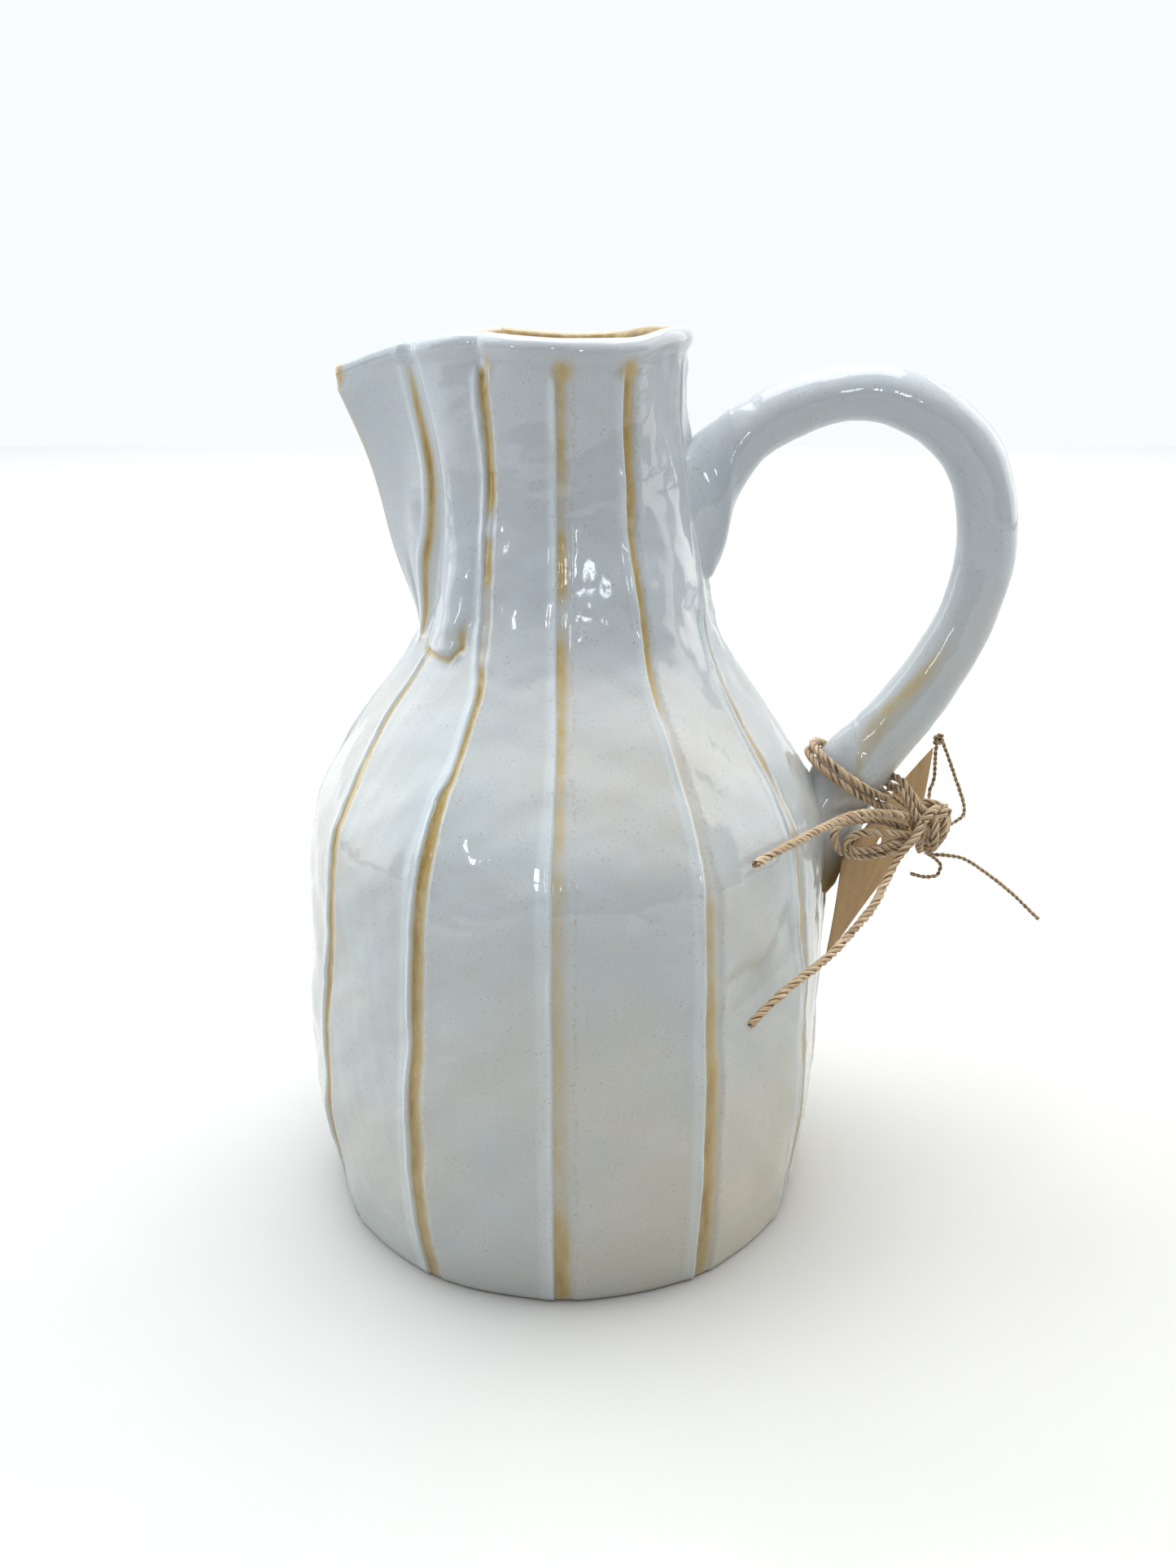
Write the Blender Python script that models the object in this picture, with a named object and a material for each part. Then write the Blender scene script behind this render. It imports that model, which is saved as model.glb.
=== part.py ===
"""Hand-built glazed pitcher with a jute bow and a paper swing tag.

Metres, +Z up. The origin is the centre of the flat underside, the handle is
towards +X and the pouring spout towards -X. Lengths below are millimetres
until MM turns them into metres.
"""

import math

import bmesh
import bpy
from mathutils import Matrix, Vector

MM = 0.001
GAP = 0.3                      # clearance between luted pieces

# Vessel: twelve panels whose edges carry a scored, glaze-filled groove.
PANELS = 12
PANEL_STEP = 360.0 / PANELS
BASE_THICKNESS = 6.0
NECK_FOOT = 170.0              # height where the neck is luted on the shoulder
RIM_HEIGHT = 250.0
WALL = 4.5
NECK_WALL = 4.0
PROFILE = [                    # height, radius at a panel edge
    (0, 71), (25, 75.5), (60, 76.5), (105, 75.5), (120, 73), (130, 68),
    (150, 54.5), (170, 41), (185, 37), (205, 34), (225, 32.5), (250, 32.5),
]
RING_SPACING = 12.0            # between the rings that follow the profile
GROOVE_DEPTH = 0.8
GROOVE_BEVEL = 0.35
GROOVE_HALF_BODY = 2.5
GROOVE_HALF_NECK = 1.2
GROOVE_NARROWS = (118.0, 155.0)

# Rim: a rolled lip, as height below the rim and swelling beyond the profile.
LIP = [(9.0, 0.0), (5.0, 1.1), (1.6, 1.0), (0.0, -0.8)]
LIP_INSIDE = [(0.0, -3.2), (3.0, -4.8), (9.0, -NECK_WALL)]

# Spout: a folded slab that closes the gap in the neck's front.
SPOUT_HALF_ANGLE = 52.0
SPOUT_REACH = 28.4             # how far its tip stands out at the rim
SPOUT_TIP_DROP = 10.0          # the tip lies this much below the rim
SPOUT_SHAPE = [                # degrees from the tip, share of the reach
    (0, 1.0), (4, 0.8), (8, 0.6), (16, 0.35), (25, 0.25), (40, 0.1), (52, 0.0),
]
SPOUT_WALL = 4.0
SPOUT_WALL_AT_TIP = 5.0        # added radially, because the fold is oblique

# Handle: centre x, z, half height, half width, direction along the handle.
HANDLE = [
    (40, 205.5, 21, 8.5, 0), (43, 210.5, 18.5, 8.5, 0), (45, 217.5, 12, 8, 5),
    (50, 223.5, 8.5, 8, 16), (58, 228.5, 8, 7.5, 28), (70, 232.5, 7.5, 7.5, 10),
    (83, 233, 7.5, 7.5, -9), (97, 227.5, 8, 8, -32), (108, 217.5, 8, 8, -56),
    (113.5, 203, 8, 8, -78), (114, 187, 8, 8, -98), (109.5, 170, 8, 8, -110),
    (101, 154, 8.5, 8.5, -123), (92.5, 142, 9, 8.5, -136), (86, 132.5, 12, 8.5, -162),
    (83, 126, 17, 9, -174), (80.5, 120, 22, 9, -180), (78.5, 116.5, 24, 9, -180),
]
RINGS_PER_STATION = 2
HANDLE_SIDES = 16
UPPER_PAD = [(24, 200.5, 18.5, 10), (34.5, 203, 20, 10), (39.7, 205.5, 21, 9)]
LOWER_PAD = [(50, 104, 17.5, 10.5), (66, 107.5, 19.5, 10.5), (78.2, 116.5, 24, 9.5)]

# Jute twine, wound twice round the handle's foot and tied in a bow.
TWINE = 2.5
KNOT_CENTRE = (104.0, -4.0, 112.5)
KNOT_HALF = (6.5, 6.0, 8.0)
WRAP_CENTRE = Vector((81.0, 0.0, 127.5))
WRAP_OUTWARD = Vector((0.85, 0.0, -0.527))
WRAP_ALONG = Vector((0.527, 0.0, 0.85))
WRAP_RADII = (13.2, 11.0)
WRAP_PITCH = 2.6
WRAP_START, WRAP_END, WRAP_STEP = 20, 690, 15
WRAP_FROM_KNOT = (99, -1, 120)
WRAP_TO_KNOT = (96.5, -5.5, 117)
BOW_ROUTE = [
    (97, -8.5, 113), (90, -11, 116.5), (82, -14, 118), (76, -17, 117.5), (74.5, -18, 114),
    (77, -17.5, 110), (83.5, -15, 107.5), (91, -12, 107.5), (97.5, -9, 108.5),
]
UPPER_TAIL_ROUTE = [
    (98.5, -9, 117), (87, -16, 121), (78.5, -21, 122), (71.5, -27.5, 122),
    (66, -35, 122.5), (60, -43, 123), (54, -50, 123), (48, -56.5, 122.5),
]
LOWER_TAIL_ROUTE = [
    (100.5, -12, 116.5), (98, -14, 112.5), (93.5, -16.5, 108), (89.5, -21, 103),
    (85, -28, 98.5), (77.5, -36.5, 94), (69, -46, 90.5), (59, -55, 87.5),
    (52, -60.5, 84), (47.5, -64, 81),
]

# Thin string, 1.2 thick, that holds the tag on the knot.
STRING = 1.2
STEM_ROUTE = [
    (105, 1, 121.5), (106.5, 3, 125), (106.5, 4, 132), (107, 4, 137.5), (109.5, 4, 132.5),
    (112.5, 3, 125), (115, 1, 118), (115, -0.5, 114.5), (112, -2, 112.5),
]
ENDS_ROUTE = [
    (100.5, -3, 97), (104.5, -3, 96), (108, -3, 96.5), (109, -3, 99.5), (107, -3.5, 102),
    (105, -4, 103.5), (106, -5.5, 104), (110, -6, 104), (115, -6.5, 103), (121, -8.5, 99.5),
    (127.5, -12, 95), (134.5, -17, 89),
]

# Paper tag, hung by its punched hole. Its plane is given by two directions.
TAG_LENGTH, TAG_HEIGHT, TAG_THICKNESS = 70.0, 38.0, 0.45
TAG_HOLE_RADIUS = 2.8
TAG_HOLE = Vector((93.9, 13.8, 99.0))
TAG_HOLE_ALONG = 0.47          # share of the length, from the near end
TAG_HOLE_DOWN = 0.42           # share of the height, from the top edge
TAG_ALONG = Vector((0.542, 0.814, 0.209)).normalized()
TAG_FACE = TAG_ALONG.cross(Vector((0.025, -0.264, 0.964))).normalized()
TAG_UP = TAG_FACE.cross(TAG_ALONG).normalized()

COLOURS = {                    # base colour, roughness
    "glaze": ((0.72, 0.75, 0.77), 0.18),
    "slip": ((0.80, 0.79, 0.75), 0.25),
    "clay": ((0.62, 0.58, 0.52), 0.55),
    "jute": ((0.36, 0.23, 0.13), 0.85),
    "string": ((0.40, 0.27, 0.15), 0.85),
    "kraft": ((0.33, 0.20, 0.09), 0.80),
}


def interpolate(table, value):
    """Straight-line value between the rows of a two-column table."""
    if value <= table[0][0]:
        return table[0][1]
    for (x0, y0), (x1, y1) in zip(table, table[1:]):
        if value <= x1:
            return y0 + (y1 - y0) * (value - x0) / (x1 - x0)
    return table[-1][1]


def smooth_value(table, value):
    """Value on a smooth curve through a table's rows, without overshoot."""
    rises = [(y1 - y0) / (x1 - x0) for (x0, y0), (x1, y1) in zip(table, table[1:])]
    slopes = [rises[0]]
    for before, after in zip(rises, rises[1:]):
        slopes.append(2 * before * after / (before + after) if before * after > 0 else 0.0)
    slopes.append(rises[-1])
    value = min(max(value, table[0][0]), table[-1][0])
    for i, ((x0, y0), (x1, y1)) in enumerate(zip(table, table[1:])):
        if value <= x1:
            width = x1 - x0
            t = (value - x0) / width
            start, end = slopes[i] * width, slopes[i + 1] * width
            return ((1 + 2 * t) * (1 - t) ** 2 * y0 + t * (1 - t) ** 2 * start
                    + t * t * (3 - 2 * t) * y1 - t * t * (1 - t) * end)


def corner_radius(height):
    return smooth_value(PROFILE, height)


def ring_heights(low, high):
    """Evenly spaced heights from low to high, both included."""
    count = math.ceil((high - low) / RING_SPACING)
    return [low + (high - low) * i / count for i in range(count + 1)]


BODY_HEIGHTS = ring_heights(BASE_THICKNESS + GAP, NECK_FOOT)
NECK_HEIGHTS = ring_heights(NECK_FOOT + GAP, RIM_HEIGHT - LIP[0][0] - RING_SPACING)


def flat_radius(angle, height):
    """Radius on the flat of a panel, between two panel edges."""
    off_middle = abs(angle) % PANEL_STEP - PANEL_STEP / 2
    half = math.radians(PANEL_STEP / 2)
    return corner_radius(height) * math.cos(half) / math.cos(math.radians(off_middle))


def polar(radius, angle, height):
    turn = math.radians(angle)
    return Vector((radius * math.cos(turn), radius * math.sin(turn), height))


def groove_half(height):
    start, end = GROOVE_NARROWS
    return interpolate([(start, GROOVE_HALF_BODY), (end, GROOVE_HALF_NECK)], height)


def groove_columns(first_line, last_line):
    """Four columns for each scored line: both lips and both bottom edges."""
    columns = []
    for line in range(first_line, last_line + 1):
        for side, edge in ((-1, 1), (-1, -1), (1, -1), (1, 1)):
            columns.append((line * PANEL_STEP, side, edge))
    return columns


def groove_point(column, height, swell=0.0, cut=True):
    """A point of a groove column; swell moves it out, cut sinks the bottom."""
    line, side, edge = column
    radius = corner_radius(height)
    offset = side * (groove_half(height) + edge * GROOVE_BEVEL)
    depth = GROOVE_DEPTH if cut and edge < 0 else 0.0
    return polar(radius + swell - depth, line + math.degrees(offset / radius), height)


def thickness_at(height, wall):
    """Horizontal wall thickness that keeps the wall equally thick on a slope."""
    step = 2.0
    rise = corner_radius(height + step) - corner_radius(height - step)
    return wall * math.hypot(1.0, rise / (2 * step))


def loft(name, rings, wrap=False):
    """Closed solid through rings of equally many points."""
    mesh = bmesh.new()
    loops = [[mesh.verts.new(point * MM) for point in ring] for ring in rings]
    pairs = list(zip(loops, loops[1:]))
    if wrap:
        pairs.append((loops[-1], loops[0]))
    for lower, upper in pairs:
        for i in range(len(lower)):
            j = (i + 1) % len(lower)
            mesh.faces.new((lower[i], lower[j], upper[j], upper[i]))
    if not wrap:
        mesh.faces.new(loops[0][::-1])
        mesh.faces.new(loops[-1])
    bmesh.ops.recalc_face_normals(mesh, faces=mesh.faces)
    return add_object(name, mesh)


def add_object(name, mesh):
    data = bpy.data.meshes.new(name)
    mesh.to_mesh(data)
    mesh.free()
    data.shade_smooth()
    data.set_sharp_from_angle(angle=math.radians(35))
    item = bpy.data.objects.new(name, data)
    bpy.context.collection.objects.link(item)
    return item


def paint(item, finish):
    material = bpy.data.materials.get(finish)
    if material is None:
        colour, roughness = COLOURS[finish]
        material = bpy.data.materials.new(finish)
        material.use_nodes = True
        shader = material.node_tree.nodes["Principled BSDF"]
        shader.inputs["Base Color"].default_value = (*colour, 1.0)
        shader.inputs["Roughness"].default_value = roughness
        shader.inputs["Metallic"].default_value = 0.0
    item.data.materials.append(material)
    return item


def hide_cutter(cutter):
    cutter.hide_render = True
    cutter.display_type = "WIRE"
    return cutter


def subtract(item, cutter):
    boolean = item.modifiers.new(cutter.name, "BOOLEAN")
    boolean.operation = "DIFFERENCE"
    boolean.object = cutter


def base_disc():
    """The twelve-sided slab that closes the bottom; its underside is flat."""
    rings = []
    for height, shrink in ((0.0, 0.8), (0.8, 0.0), (BASE_THICKNESS, 0.0)):
        rings.append([groove_point(column, height, -shrink) for column in groove_columns(0, PANELS - 1)])
    return paint(loft("base_disc", rings), "clay")


def body_wall():
    """Belly and shoulder, from the base slab to the foot of the neck."""
    rings = []
    for column in groove_columns(0, PANELS - 1):
        outside = [groove_point(column, height) for height in BODY_HEIGHTS]
        inside = [
            groove_point(column, height, -thickness_at(height, WALL), cut=False)
            for height in reversed(BODY_HEIGHTS)
        ]
        rings.append(outside + inside)
    return paint(loft("body_wall", rings, wrap=True), "glaze")


def neck_section(point_at):
    """Outline of the neck's wall; point_at gives a point for height and swell."""
    outside = [point_at(height, 0.0) for height in NECK_HEIGHTS]
    outside += [point_at(RIM_HEIGHT - down, swell) for down, swell in LIP]
    inside = [point_at(RIM_HEIGHT - down, swell) for down, swell in LIP_INSIDE]
    inside += [point_at(height, -thickness_at(height, NECK_WALL)) for height in reversed(NECK_HEIGHTS)]
    return outside + inside


def neck():
    """Collar with a rolled lip, open in front where the spout is let in."""
    edge = 180.0 - SPOUT_HALF_ANGLE - math.degrees(GAP / corner_radius(RIM_HEIGHT))
    last_line = int(edge // PANEL_STEP)

    def edge_section(angle):
        return neck_section(lambda z, swell: polar(flat_radius(angle, z) + swell, angle, z))

    rings = [edge_section(-edge)]
    for column in groove_columns(-last_line, last_line):
        rings.append(neck_section(lambda z, swell, c=column: groove_point(c, z, swell, swell == 0.0)))
    rings.append(edge_section(edge))
    return paint(loft("neck", rings), "glaze")


def spout():
    """V-shaped folded slab whose tip stands out below the rim."""
    half = [row[0] for row in SPOUT_SHAPE]
    angles = [-angle for angle in reversed(half)] + half[1:]
    low = NECK_FOOT + GAP
    steps = (0.0, 0.12, 0.3, 0.5, 0.72, 0.9)
    rings = []
    for angle in angles:
        share = interpolate(SPOUT_SHAPE, abs(angle))
        top = RIM_HEIGHT - SPOUT_TIP_DROP * share
        wall = SPOUT_WALL + SPOUT_WALL_AT_TIP * share

        def point(height, inward, angle=angle, share=share):
            reach = SPOUT_REACH * share * (height - low) / (RIM_HEIGHT - SPOUT_TIP_DROP - low)
            radius = flat_radius(180.0 + angle, height) + reach - inward
            return polar(radius, 180.0 + angle, height)

        heights = [low + step * (top - low) for step in steps]
        outline = [point(height, 0.0) for height in heights]
        outline += [point(top - 1.4, 0.0), point(top, 1.2), point(top, wall - 1.2)]
        outline += [point(top - 1.4, wall)]
        outline += [point(height, wall) for height in reversed(heights)]
        rings.append(outline)
    return paint(loft("spout", rings), "glaze")


def oval_ring(centre, half_height, half_width, pitch):
    """Oval across the handle; pitch is the direction along it, in degrees."""
    turn = math.radians(pitch)
    across = Vector((-math.sin(turn), 0.0, math.cos(turn)))
    ring = []
    for i in range(HANDLE_SIDES):
        angle = 2 * math.pi * i / HANDLE_SIDES
        ring.append(centre + across * (half_height * math.cos(angle))
                    + Vector((0.0, half_width * math.sin(angle), 0.0)))
    return ring


def smooth_stations(table, per_row):
    """Rows on a smooth curve through a table's rows, per_row to each of them."""
    first = [2 * a - b for a, b in zip(table[0], table[1])]
    last = [2 * a - b for a, b in zip(table[-1], table[-2])]
    knots = [first, *table, last]
    rows = []
    for a, b, c, d in zip(knots, knots[1:], knots[2:], knots[3:]):
        for i in range(per_row):
            t = i / per_row
            rows.append([0.5 * (2 * q + (r - p) * t + (2 * p - 5 * q + 4 * r - u) * t ** 2
                                + (3 * q - p - 3 * r + u) * t ** 3)
                         for p, q, r, u in zip(a, b, c, d)])
    rows.append(list(table[-1]))
    return rows


def handle():
    """Pulled handle: a round bar that flares into both of its joints."""
    rings = []
    for x, z, half_height, half_width, pitch in smooth_stations(HANDLE, RINGS_PER_STATION):
        rings.append(oval_ring(Vector((x, 0.0, z)), half_height, half_width, pitch))
    return paint(loft("handle", rings), "glaze")


def wall_cutter():
    """The vessel's outside, grown by the gap, that the handle's joints fit."""
    rings = []
    for height in [0.0, *BODY_HEIGHTS, *NECK_HEIGHTS, RIM_HEIGHT]:
        rings.append([groove_point(column, height, GAP, cut=False)
                      for column in groove_columns(0, PANELS - 1)])
    return hide_cutter(loft("wall_cutter", rings))


def handle_joint(name, stations, cutter):
    """Pad of slip and clay that lutes an end of the handle to the wall."""
    rings = [oval_ring(Vector((x, 0.0, z)), tall, wide, 0.0) for x, z, tall, wide in stations]
    pad = loft(name, rings)
    subtract(pad, cutter)
    return paint(pad, "slip")


def smooth_route(points, spacing):
    """Even points along a smooth curve through the given ones."""
    knots = [Vector(point) for point in points]
    knots = [2 * knots[0] - knots[1]] + knots + [2 * knots[-1] - knots[-2]]
    fine = []
    for a, b, c, d in zip(knots, knots[1:], knots[2:], knots[3:]):
        for i in range(16):
            t = i / 16
            fine.append(0.5 * (2 * b + (c - a) * t + (2 * a - 5 * b + 4 * c - d) * t ** 2
                               + (3 * b - a - 3 * c + d) * t ** 3))
    fine.append(knots[-2])
    lengths = [0.0]
    for start, end in zip(fine, fine[1:]):
        lengths.append(lengths[-1] + (end - start).length)
    count = max(4, round(lengths[-1] / spacing))
    route = []
    index = 0
    for i in range(count + 1):
        target = lengths[-1] * i / count
        while index < len(fine) - 2 and lengths[index + 1] < target:
            index += 1
        share = (target - lengths[index]) / (lengths[index + 1] - lengths[index])
        route.append(fine[index].lerp(fine[index + 1], min(1.0, share)))
    return route


def tube(name, points, diameter, spacing, finish):
    """Round cord along a smooth route, with filled ends."""
    route = smooth_route(points, spacing)
    curve = bpy.data.curves.new(name, "CURVE")
    curve.dimensions = "3D"
    curve.bevel_depth = diameter / 2 * MM
    curve.bevel_resolution = 2
    curve.use_fill_caps = True
    spline = curve.splines.new("POLY")
    spline.points.add(len(route) - 1)
    for spline_point, place in zip(spline.points, route):
        spline_point.co = (*(place * MM), 1.0)
    item = bpy.data.objects.new(name, curve)
    bpy.context.collection.objects.link(item)
    return paint(item, finish)


def wrap_route():
    """From the knot, twice round the handle's foot, and back to the knot."""
    route = [WRAP_FROM_KNOT]
    middle = (WRAP_START + WRAP_END) / 2
    for degrees in range(WRAP_START, WRAP_END + 1, WRAP_STEP):
        angle = math.radians(degrees)
        place = WRAP_CENTRE + WRAP_OUTWARD * (WRAP_RADII[0] * math.cos(angle))
        place = place + Vector((0.0, WRAP_RADII[1] * math.sin(angle), 0.0))
        place = place + WRAP_ALONG * (WRAP_PITCH * (middle - degrees) / 360.0)
        route.append(tuple(place))
    route.append(WRAP_TO_KNOT)
    return route


def twine_knot():
    """The tied lump of the bow."""
    mesh = bmesh.new()
    bmesh.ops.create_icosphere(mesh, subdivisions=3, radius=1.0)
    bmesh.ops.scale(mesh, vec=Vector(KNOT_HALF) * MM, verts=mesh.verts)
    bmesh.ops.translate(mesh, vec=Vector(KNOT_CENTRE) * MM, verts=mesh.verts)
    return paint(add_object("twine_knot", mesh), "jute")


def tag_frame():
    """Matrix of the tag: X along it, Y up its face, Z out of the printed side."""
    axes = Matrix((TAG_ALONG, TAG_UP, TAG_FACE)).transposed()
    return Matrix.Translation(TAG_HOLE * MM) @ axes.to_4x4()


def tag_string_route():
    """From the knot, through the tag's hole, over its top edge and back."""
    above_edge = TAG_HOLE_DOWN * TAG_HEIGHT + 3.4
    behind = -2.8
    inside = [(0.0, 0.4, 1.6), (0.0, 0.2, -1.2), (0.0, 3.5, behind), (0.0, 9.0, behind),
              (0.0, above_edge - 1.4, behind + 0.9), (0.0, above_edge, 0.6)]
    turned = [TAG_HOLE + TAG_ALONG * x + TAG_UP * y + TAG_FACE * z for x, y, z in inside]
    start = [(101, 2.5, 106.5), (98, 8.5, 102)]
    finish = [(98.5, 6.5, 115.5), (101.5, 3.5, 114)]
    return start + [tuple(place) for place in turned] + finish


def paper_tag():
    """Card with a punched hole, whose origin is the hole it turns about."""
    left = -TAG_HOLE_ALONG * TAG_LENGTH
    top = TAG_HOLE_DOWN * TAG_HEIGHT
    corners = [(left, top - TAG_HEIGHT), (left + TAG_LENGTH, top - TAG_HEIGHT),
               (left + TAG_LENGTH, top), (left, top)]
    rings = [[Vector((x, y, side * TAG_THICKNESS / 2)) for x, y in corners] for side in (-1, 1)]
    tag = loft("paper_tag", rings)
    tag.matrix_world = tag_frame()
    mesh = bmesh.new()
    bmesh.ops.create_cone(mesh, cap_ends=True, segments=24, radius1=TAG_HOLE_RADIUS * MM,
                          radius2=TAG_HOLE_RADIUS * MM, depth=4 * MM)
    punch = hide_cutter(add_object("hole_punch", mesh))
    punch.matrix_world = tag_frame()
    subtract(tag, punch)
    return paint(tag, "kraft")


def build():
    for item in list(bpy.data.objects):
        bpy.data.objects.remove(item, do_unlink=True)
    base_disc()
    body_wall()
    neck()
    spout()
    cutter = wall_cutter()
    handle()
    handle_joint("handle_upper_joint", UPPER_PAD, cutter)
    handle_joint("handle_lower_joint", LOWER_PAD, cutter)
    tube("twine_wrap", wrap_route(), TWINE, 1.6 * TWINE, "jute")
    twine_knot()
    tube("twine_bow", BOW_ROUTE, TWINE, 1.6 * TWINE, "jute")
    tube("twine_tail_upper", UPPER_TAIL_ROUTE, TWINE, 2.4 * TWINE, "jute")
    tube("twine_tail_lower", LOWER_TAIL_ROUTE, TWINE, 2.4 * TWINE, "jute")
    tube("tag_string_stem", STEM_ROUTE, STRING, 2.4 * STRING, "string")
    tube("tag_string_ends", ENDS_ROUTE, STRING, 2.4 * STRING, "string")
    tube("tag_string_loop", tag_string_route(), STRING, 2.4 * STRING, "string")
    paper_tag()


build()
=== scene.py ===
import math

import bpy
import numpy as np
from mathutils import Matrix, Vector


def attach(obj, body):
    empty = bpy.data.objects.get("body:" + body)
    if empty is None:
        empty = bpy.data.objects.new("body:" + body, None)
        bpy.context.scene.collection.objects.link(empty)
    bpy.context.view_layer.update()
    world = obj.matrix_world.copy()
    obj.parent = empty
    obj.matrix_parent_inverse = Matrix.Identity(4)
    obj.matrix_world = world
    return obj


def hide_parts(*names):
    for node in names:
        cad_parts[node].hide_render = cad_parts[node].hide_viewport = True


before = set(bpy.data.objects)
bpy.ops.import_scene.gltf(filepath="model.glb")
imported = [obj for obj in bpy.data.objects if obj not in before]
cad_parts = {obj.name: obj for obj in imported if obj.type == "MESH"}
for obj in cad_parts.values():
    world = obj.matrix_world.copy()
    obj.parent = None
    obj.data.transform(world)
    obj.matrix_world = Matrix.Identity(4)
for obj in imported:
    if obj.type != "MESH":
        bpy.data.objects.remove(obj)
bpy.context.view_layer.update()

# A hand-built glazed pitcher with a jute bow and a paper tag. Lengths are in
# millimetres until MM turns them into metres; heights are above the table.
MM = 0.001
RANDOM = np.random.default_rng(7)

# ---------------------------------------------------------------- vessel sizes
PANELS = 12
STEP = 360.0 / PANELS
RIM = 250.0
WALL = 4.5
NECK_WALL = 4.0
PROFILE = [                    # height, radius at a panel edge
    (0, 71), (25, 75.5), (60, 76.5), (105, 75.5), (120, 73), (130, 68),
    (150, 54.5), (170, 41), (185, 37), (205, 34), (225, 32.5), (250, 32.5),
]
PANEL_ROUNDNESS = [(0, 0.75), (30, 0.6), (110, 0.5), (150, 0.5), (200, 0.6), (236, 0.7), (247, 1.0)]
PROFILE_BLUR = 4.0             # softens the profile's bends

# Scored lines: how far each wanders from its nominal angle, in degrees, how
# much ochre glaze it holds along its height, and its share of the full width.
LINE_DRIFT = {
    7: [(0, -1), (80, 0), (105, 2), (130, 1), (155, -1), (180, 0)],
    8: [(0, -1), (110, 0), (140, 1), (144, 2), (160, 2), (172, -1), (185, -3), (215, -5), (240, -7)],
    9: [(0, -0.5), (250, -0.5)],
    10: [(0, 2), (35, 0.5), (160, 0), (175, 1.5), (190, 0.5), (225, 0), (240, -1)],
    11: [(0, 3), (55, 1), (80, 1), (100, -1), (140, -2), (160, 0), (170, 6), (200, 15), (230, 7)],
}
LINE_OCHRE = {
    7: [(0, 0.3), (40, 0.85), (120, 0.7), (165, 0.5), (170, 0)],
    8: [(0, 0.8), (60, 0.85), (120, 1), (145, 0.75), (155, 0.95), (165, 0.8), (170, 0.25),
        (185, 0.2), (190, 0.55), (198, 0.5), (202, 0.15), (210, 0.8), (240, 0.9)],
    9: [(0, 0.75), (22, 0.7), (34, 0.34), (115, 0.32), (145, 0.4), (155, 0.5), (170, 0.6),
        (182, 0.2), (190, 0.5), (198, 0.55), (205, 0.25), (220, 0.4), (240, 0.5)],
    10: [(0, 0.6), (15, 0.85), (60, 0.75), (85, 0.5), (110, 0.4), (120, 0.22), (155, 0.2),
         (165, 0.7), (200, 0.7), (225, 0.85), (240, 0.85)],
    11: [(0, 0.8), (70, 0.75), (100, 0.6), (125, 0.5), (145, 0.8), (170, 0.4), (240, 0.3)],
}
LINE_WIDTH = {
    7: [(0, 0.55), (250, 0.55)],
    8: [(0, 0.75), (138, 0.75), (145, 0.35), (160, 0.5), (175, 1.2), (250, 1.4)],
    9: [(0, 0.95), (150, 0.95), (175, 1.5), (250, 1.6)],
    10: [(0, 1.0), (110, 0.9), (130, 0.5), (160, 0.7), (190, 0.8), (215, 1.3), (250, 1.5)],
    11: [(0, 0.65), (250, 0.5)],
}
GROOVE_HALF = [(0, 2.5), (118, 2.4), (155, 1.3), (200, 1.0), (250, 1.0)]
GROOVE_DEPTH = 0.8
RIDGE_HEIGHT = 0.5
BAND_HEIGHT = 0.22             # the thick glaze left of the ridge
SOFT_EDGE_HEIGHT = 0.12
LINE_REACH = 14.0              # how far to each side a line acts
LINE_TOP = (6.8, 10.5)         # below the rim, where the lines fade out
SPOUT_LINES = (5, 6, 7)        # these stop below the spout

# Spout: a planar flank runs from the tip to a fold, then come a valley and a
# rounded lobe that dies into the neck. Angles are degrees from the tip.
SPOUT_LOW = 170.3
SPOUT_REACH = 31.0
SPOUT_DROP = 10.0
SPOUT_EDGE = 56.0              # where it has died into the neck
SPOUT_EXTRA_WALL = 4.6
SPOUT_BLEND = (166.0, 171.0)   # heights over which it grows out of the wall
FLANK_SWELL = 2.2
FLANK_DIP = 0.9
CREASE_DEPTH = 0.8             # also of the pinch beside the flank
FOOT_NARROWING = 1.4
SPOUT_SHARE = [(0, 1.0), (4, 0.8), (8, 0.6), (16, 0.35), (25, 0.25), (40, 0.1), (52, 0.0)]
FOLD_ANGLE = [(168, 12), (176, 15), (190, 16.5), (200, 19.5), (212, 20.5), (228, 18.5), (250, 16)]
VALLEY_EDGE = [(168, 24), (190, 29), (205, 31), (228, 27), (250, 22)]
LOBE_ANGLE = [(168, 40), (180, 43), (191, 42), (211, 38), (250, 36)]
VALLEY_DEPTH = [(166, 0), (171, 1.2), (180, 2.0), (205, 2.1), (228, 1.3), (246, 0.5), (250, 0.2)]
LOBE_HEIGHT = [(166, 0), (170, 2.6), (178, 2.8), (190, 2), (205, 1.2), (228, 0.6), (250, 0.2)]
FOLD_RIDGE = [(168, 0), (174, 0.5), (205, 0.8), (246, 0.4), (250, 0)]
VALLEY_OCHRE = [(165, 0), (170, 0.7), (180, 0.9), (215, 1), (230, 0.8), (240, 0.35), (246, 0)]

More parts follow.
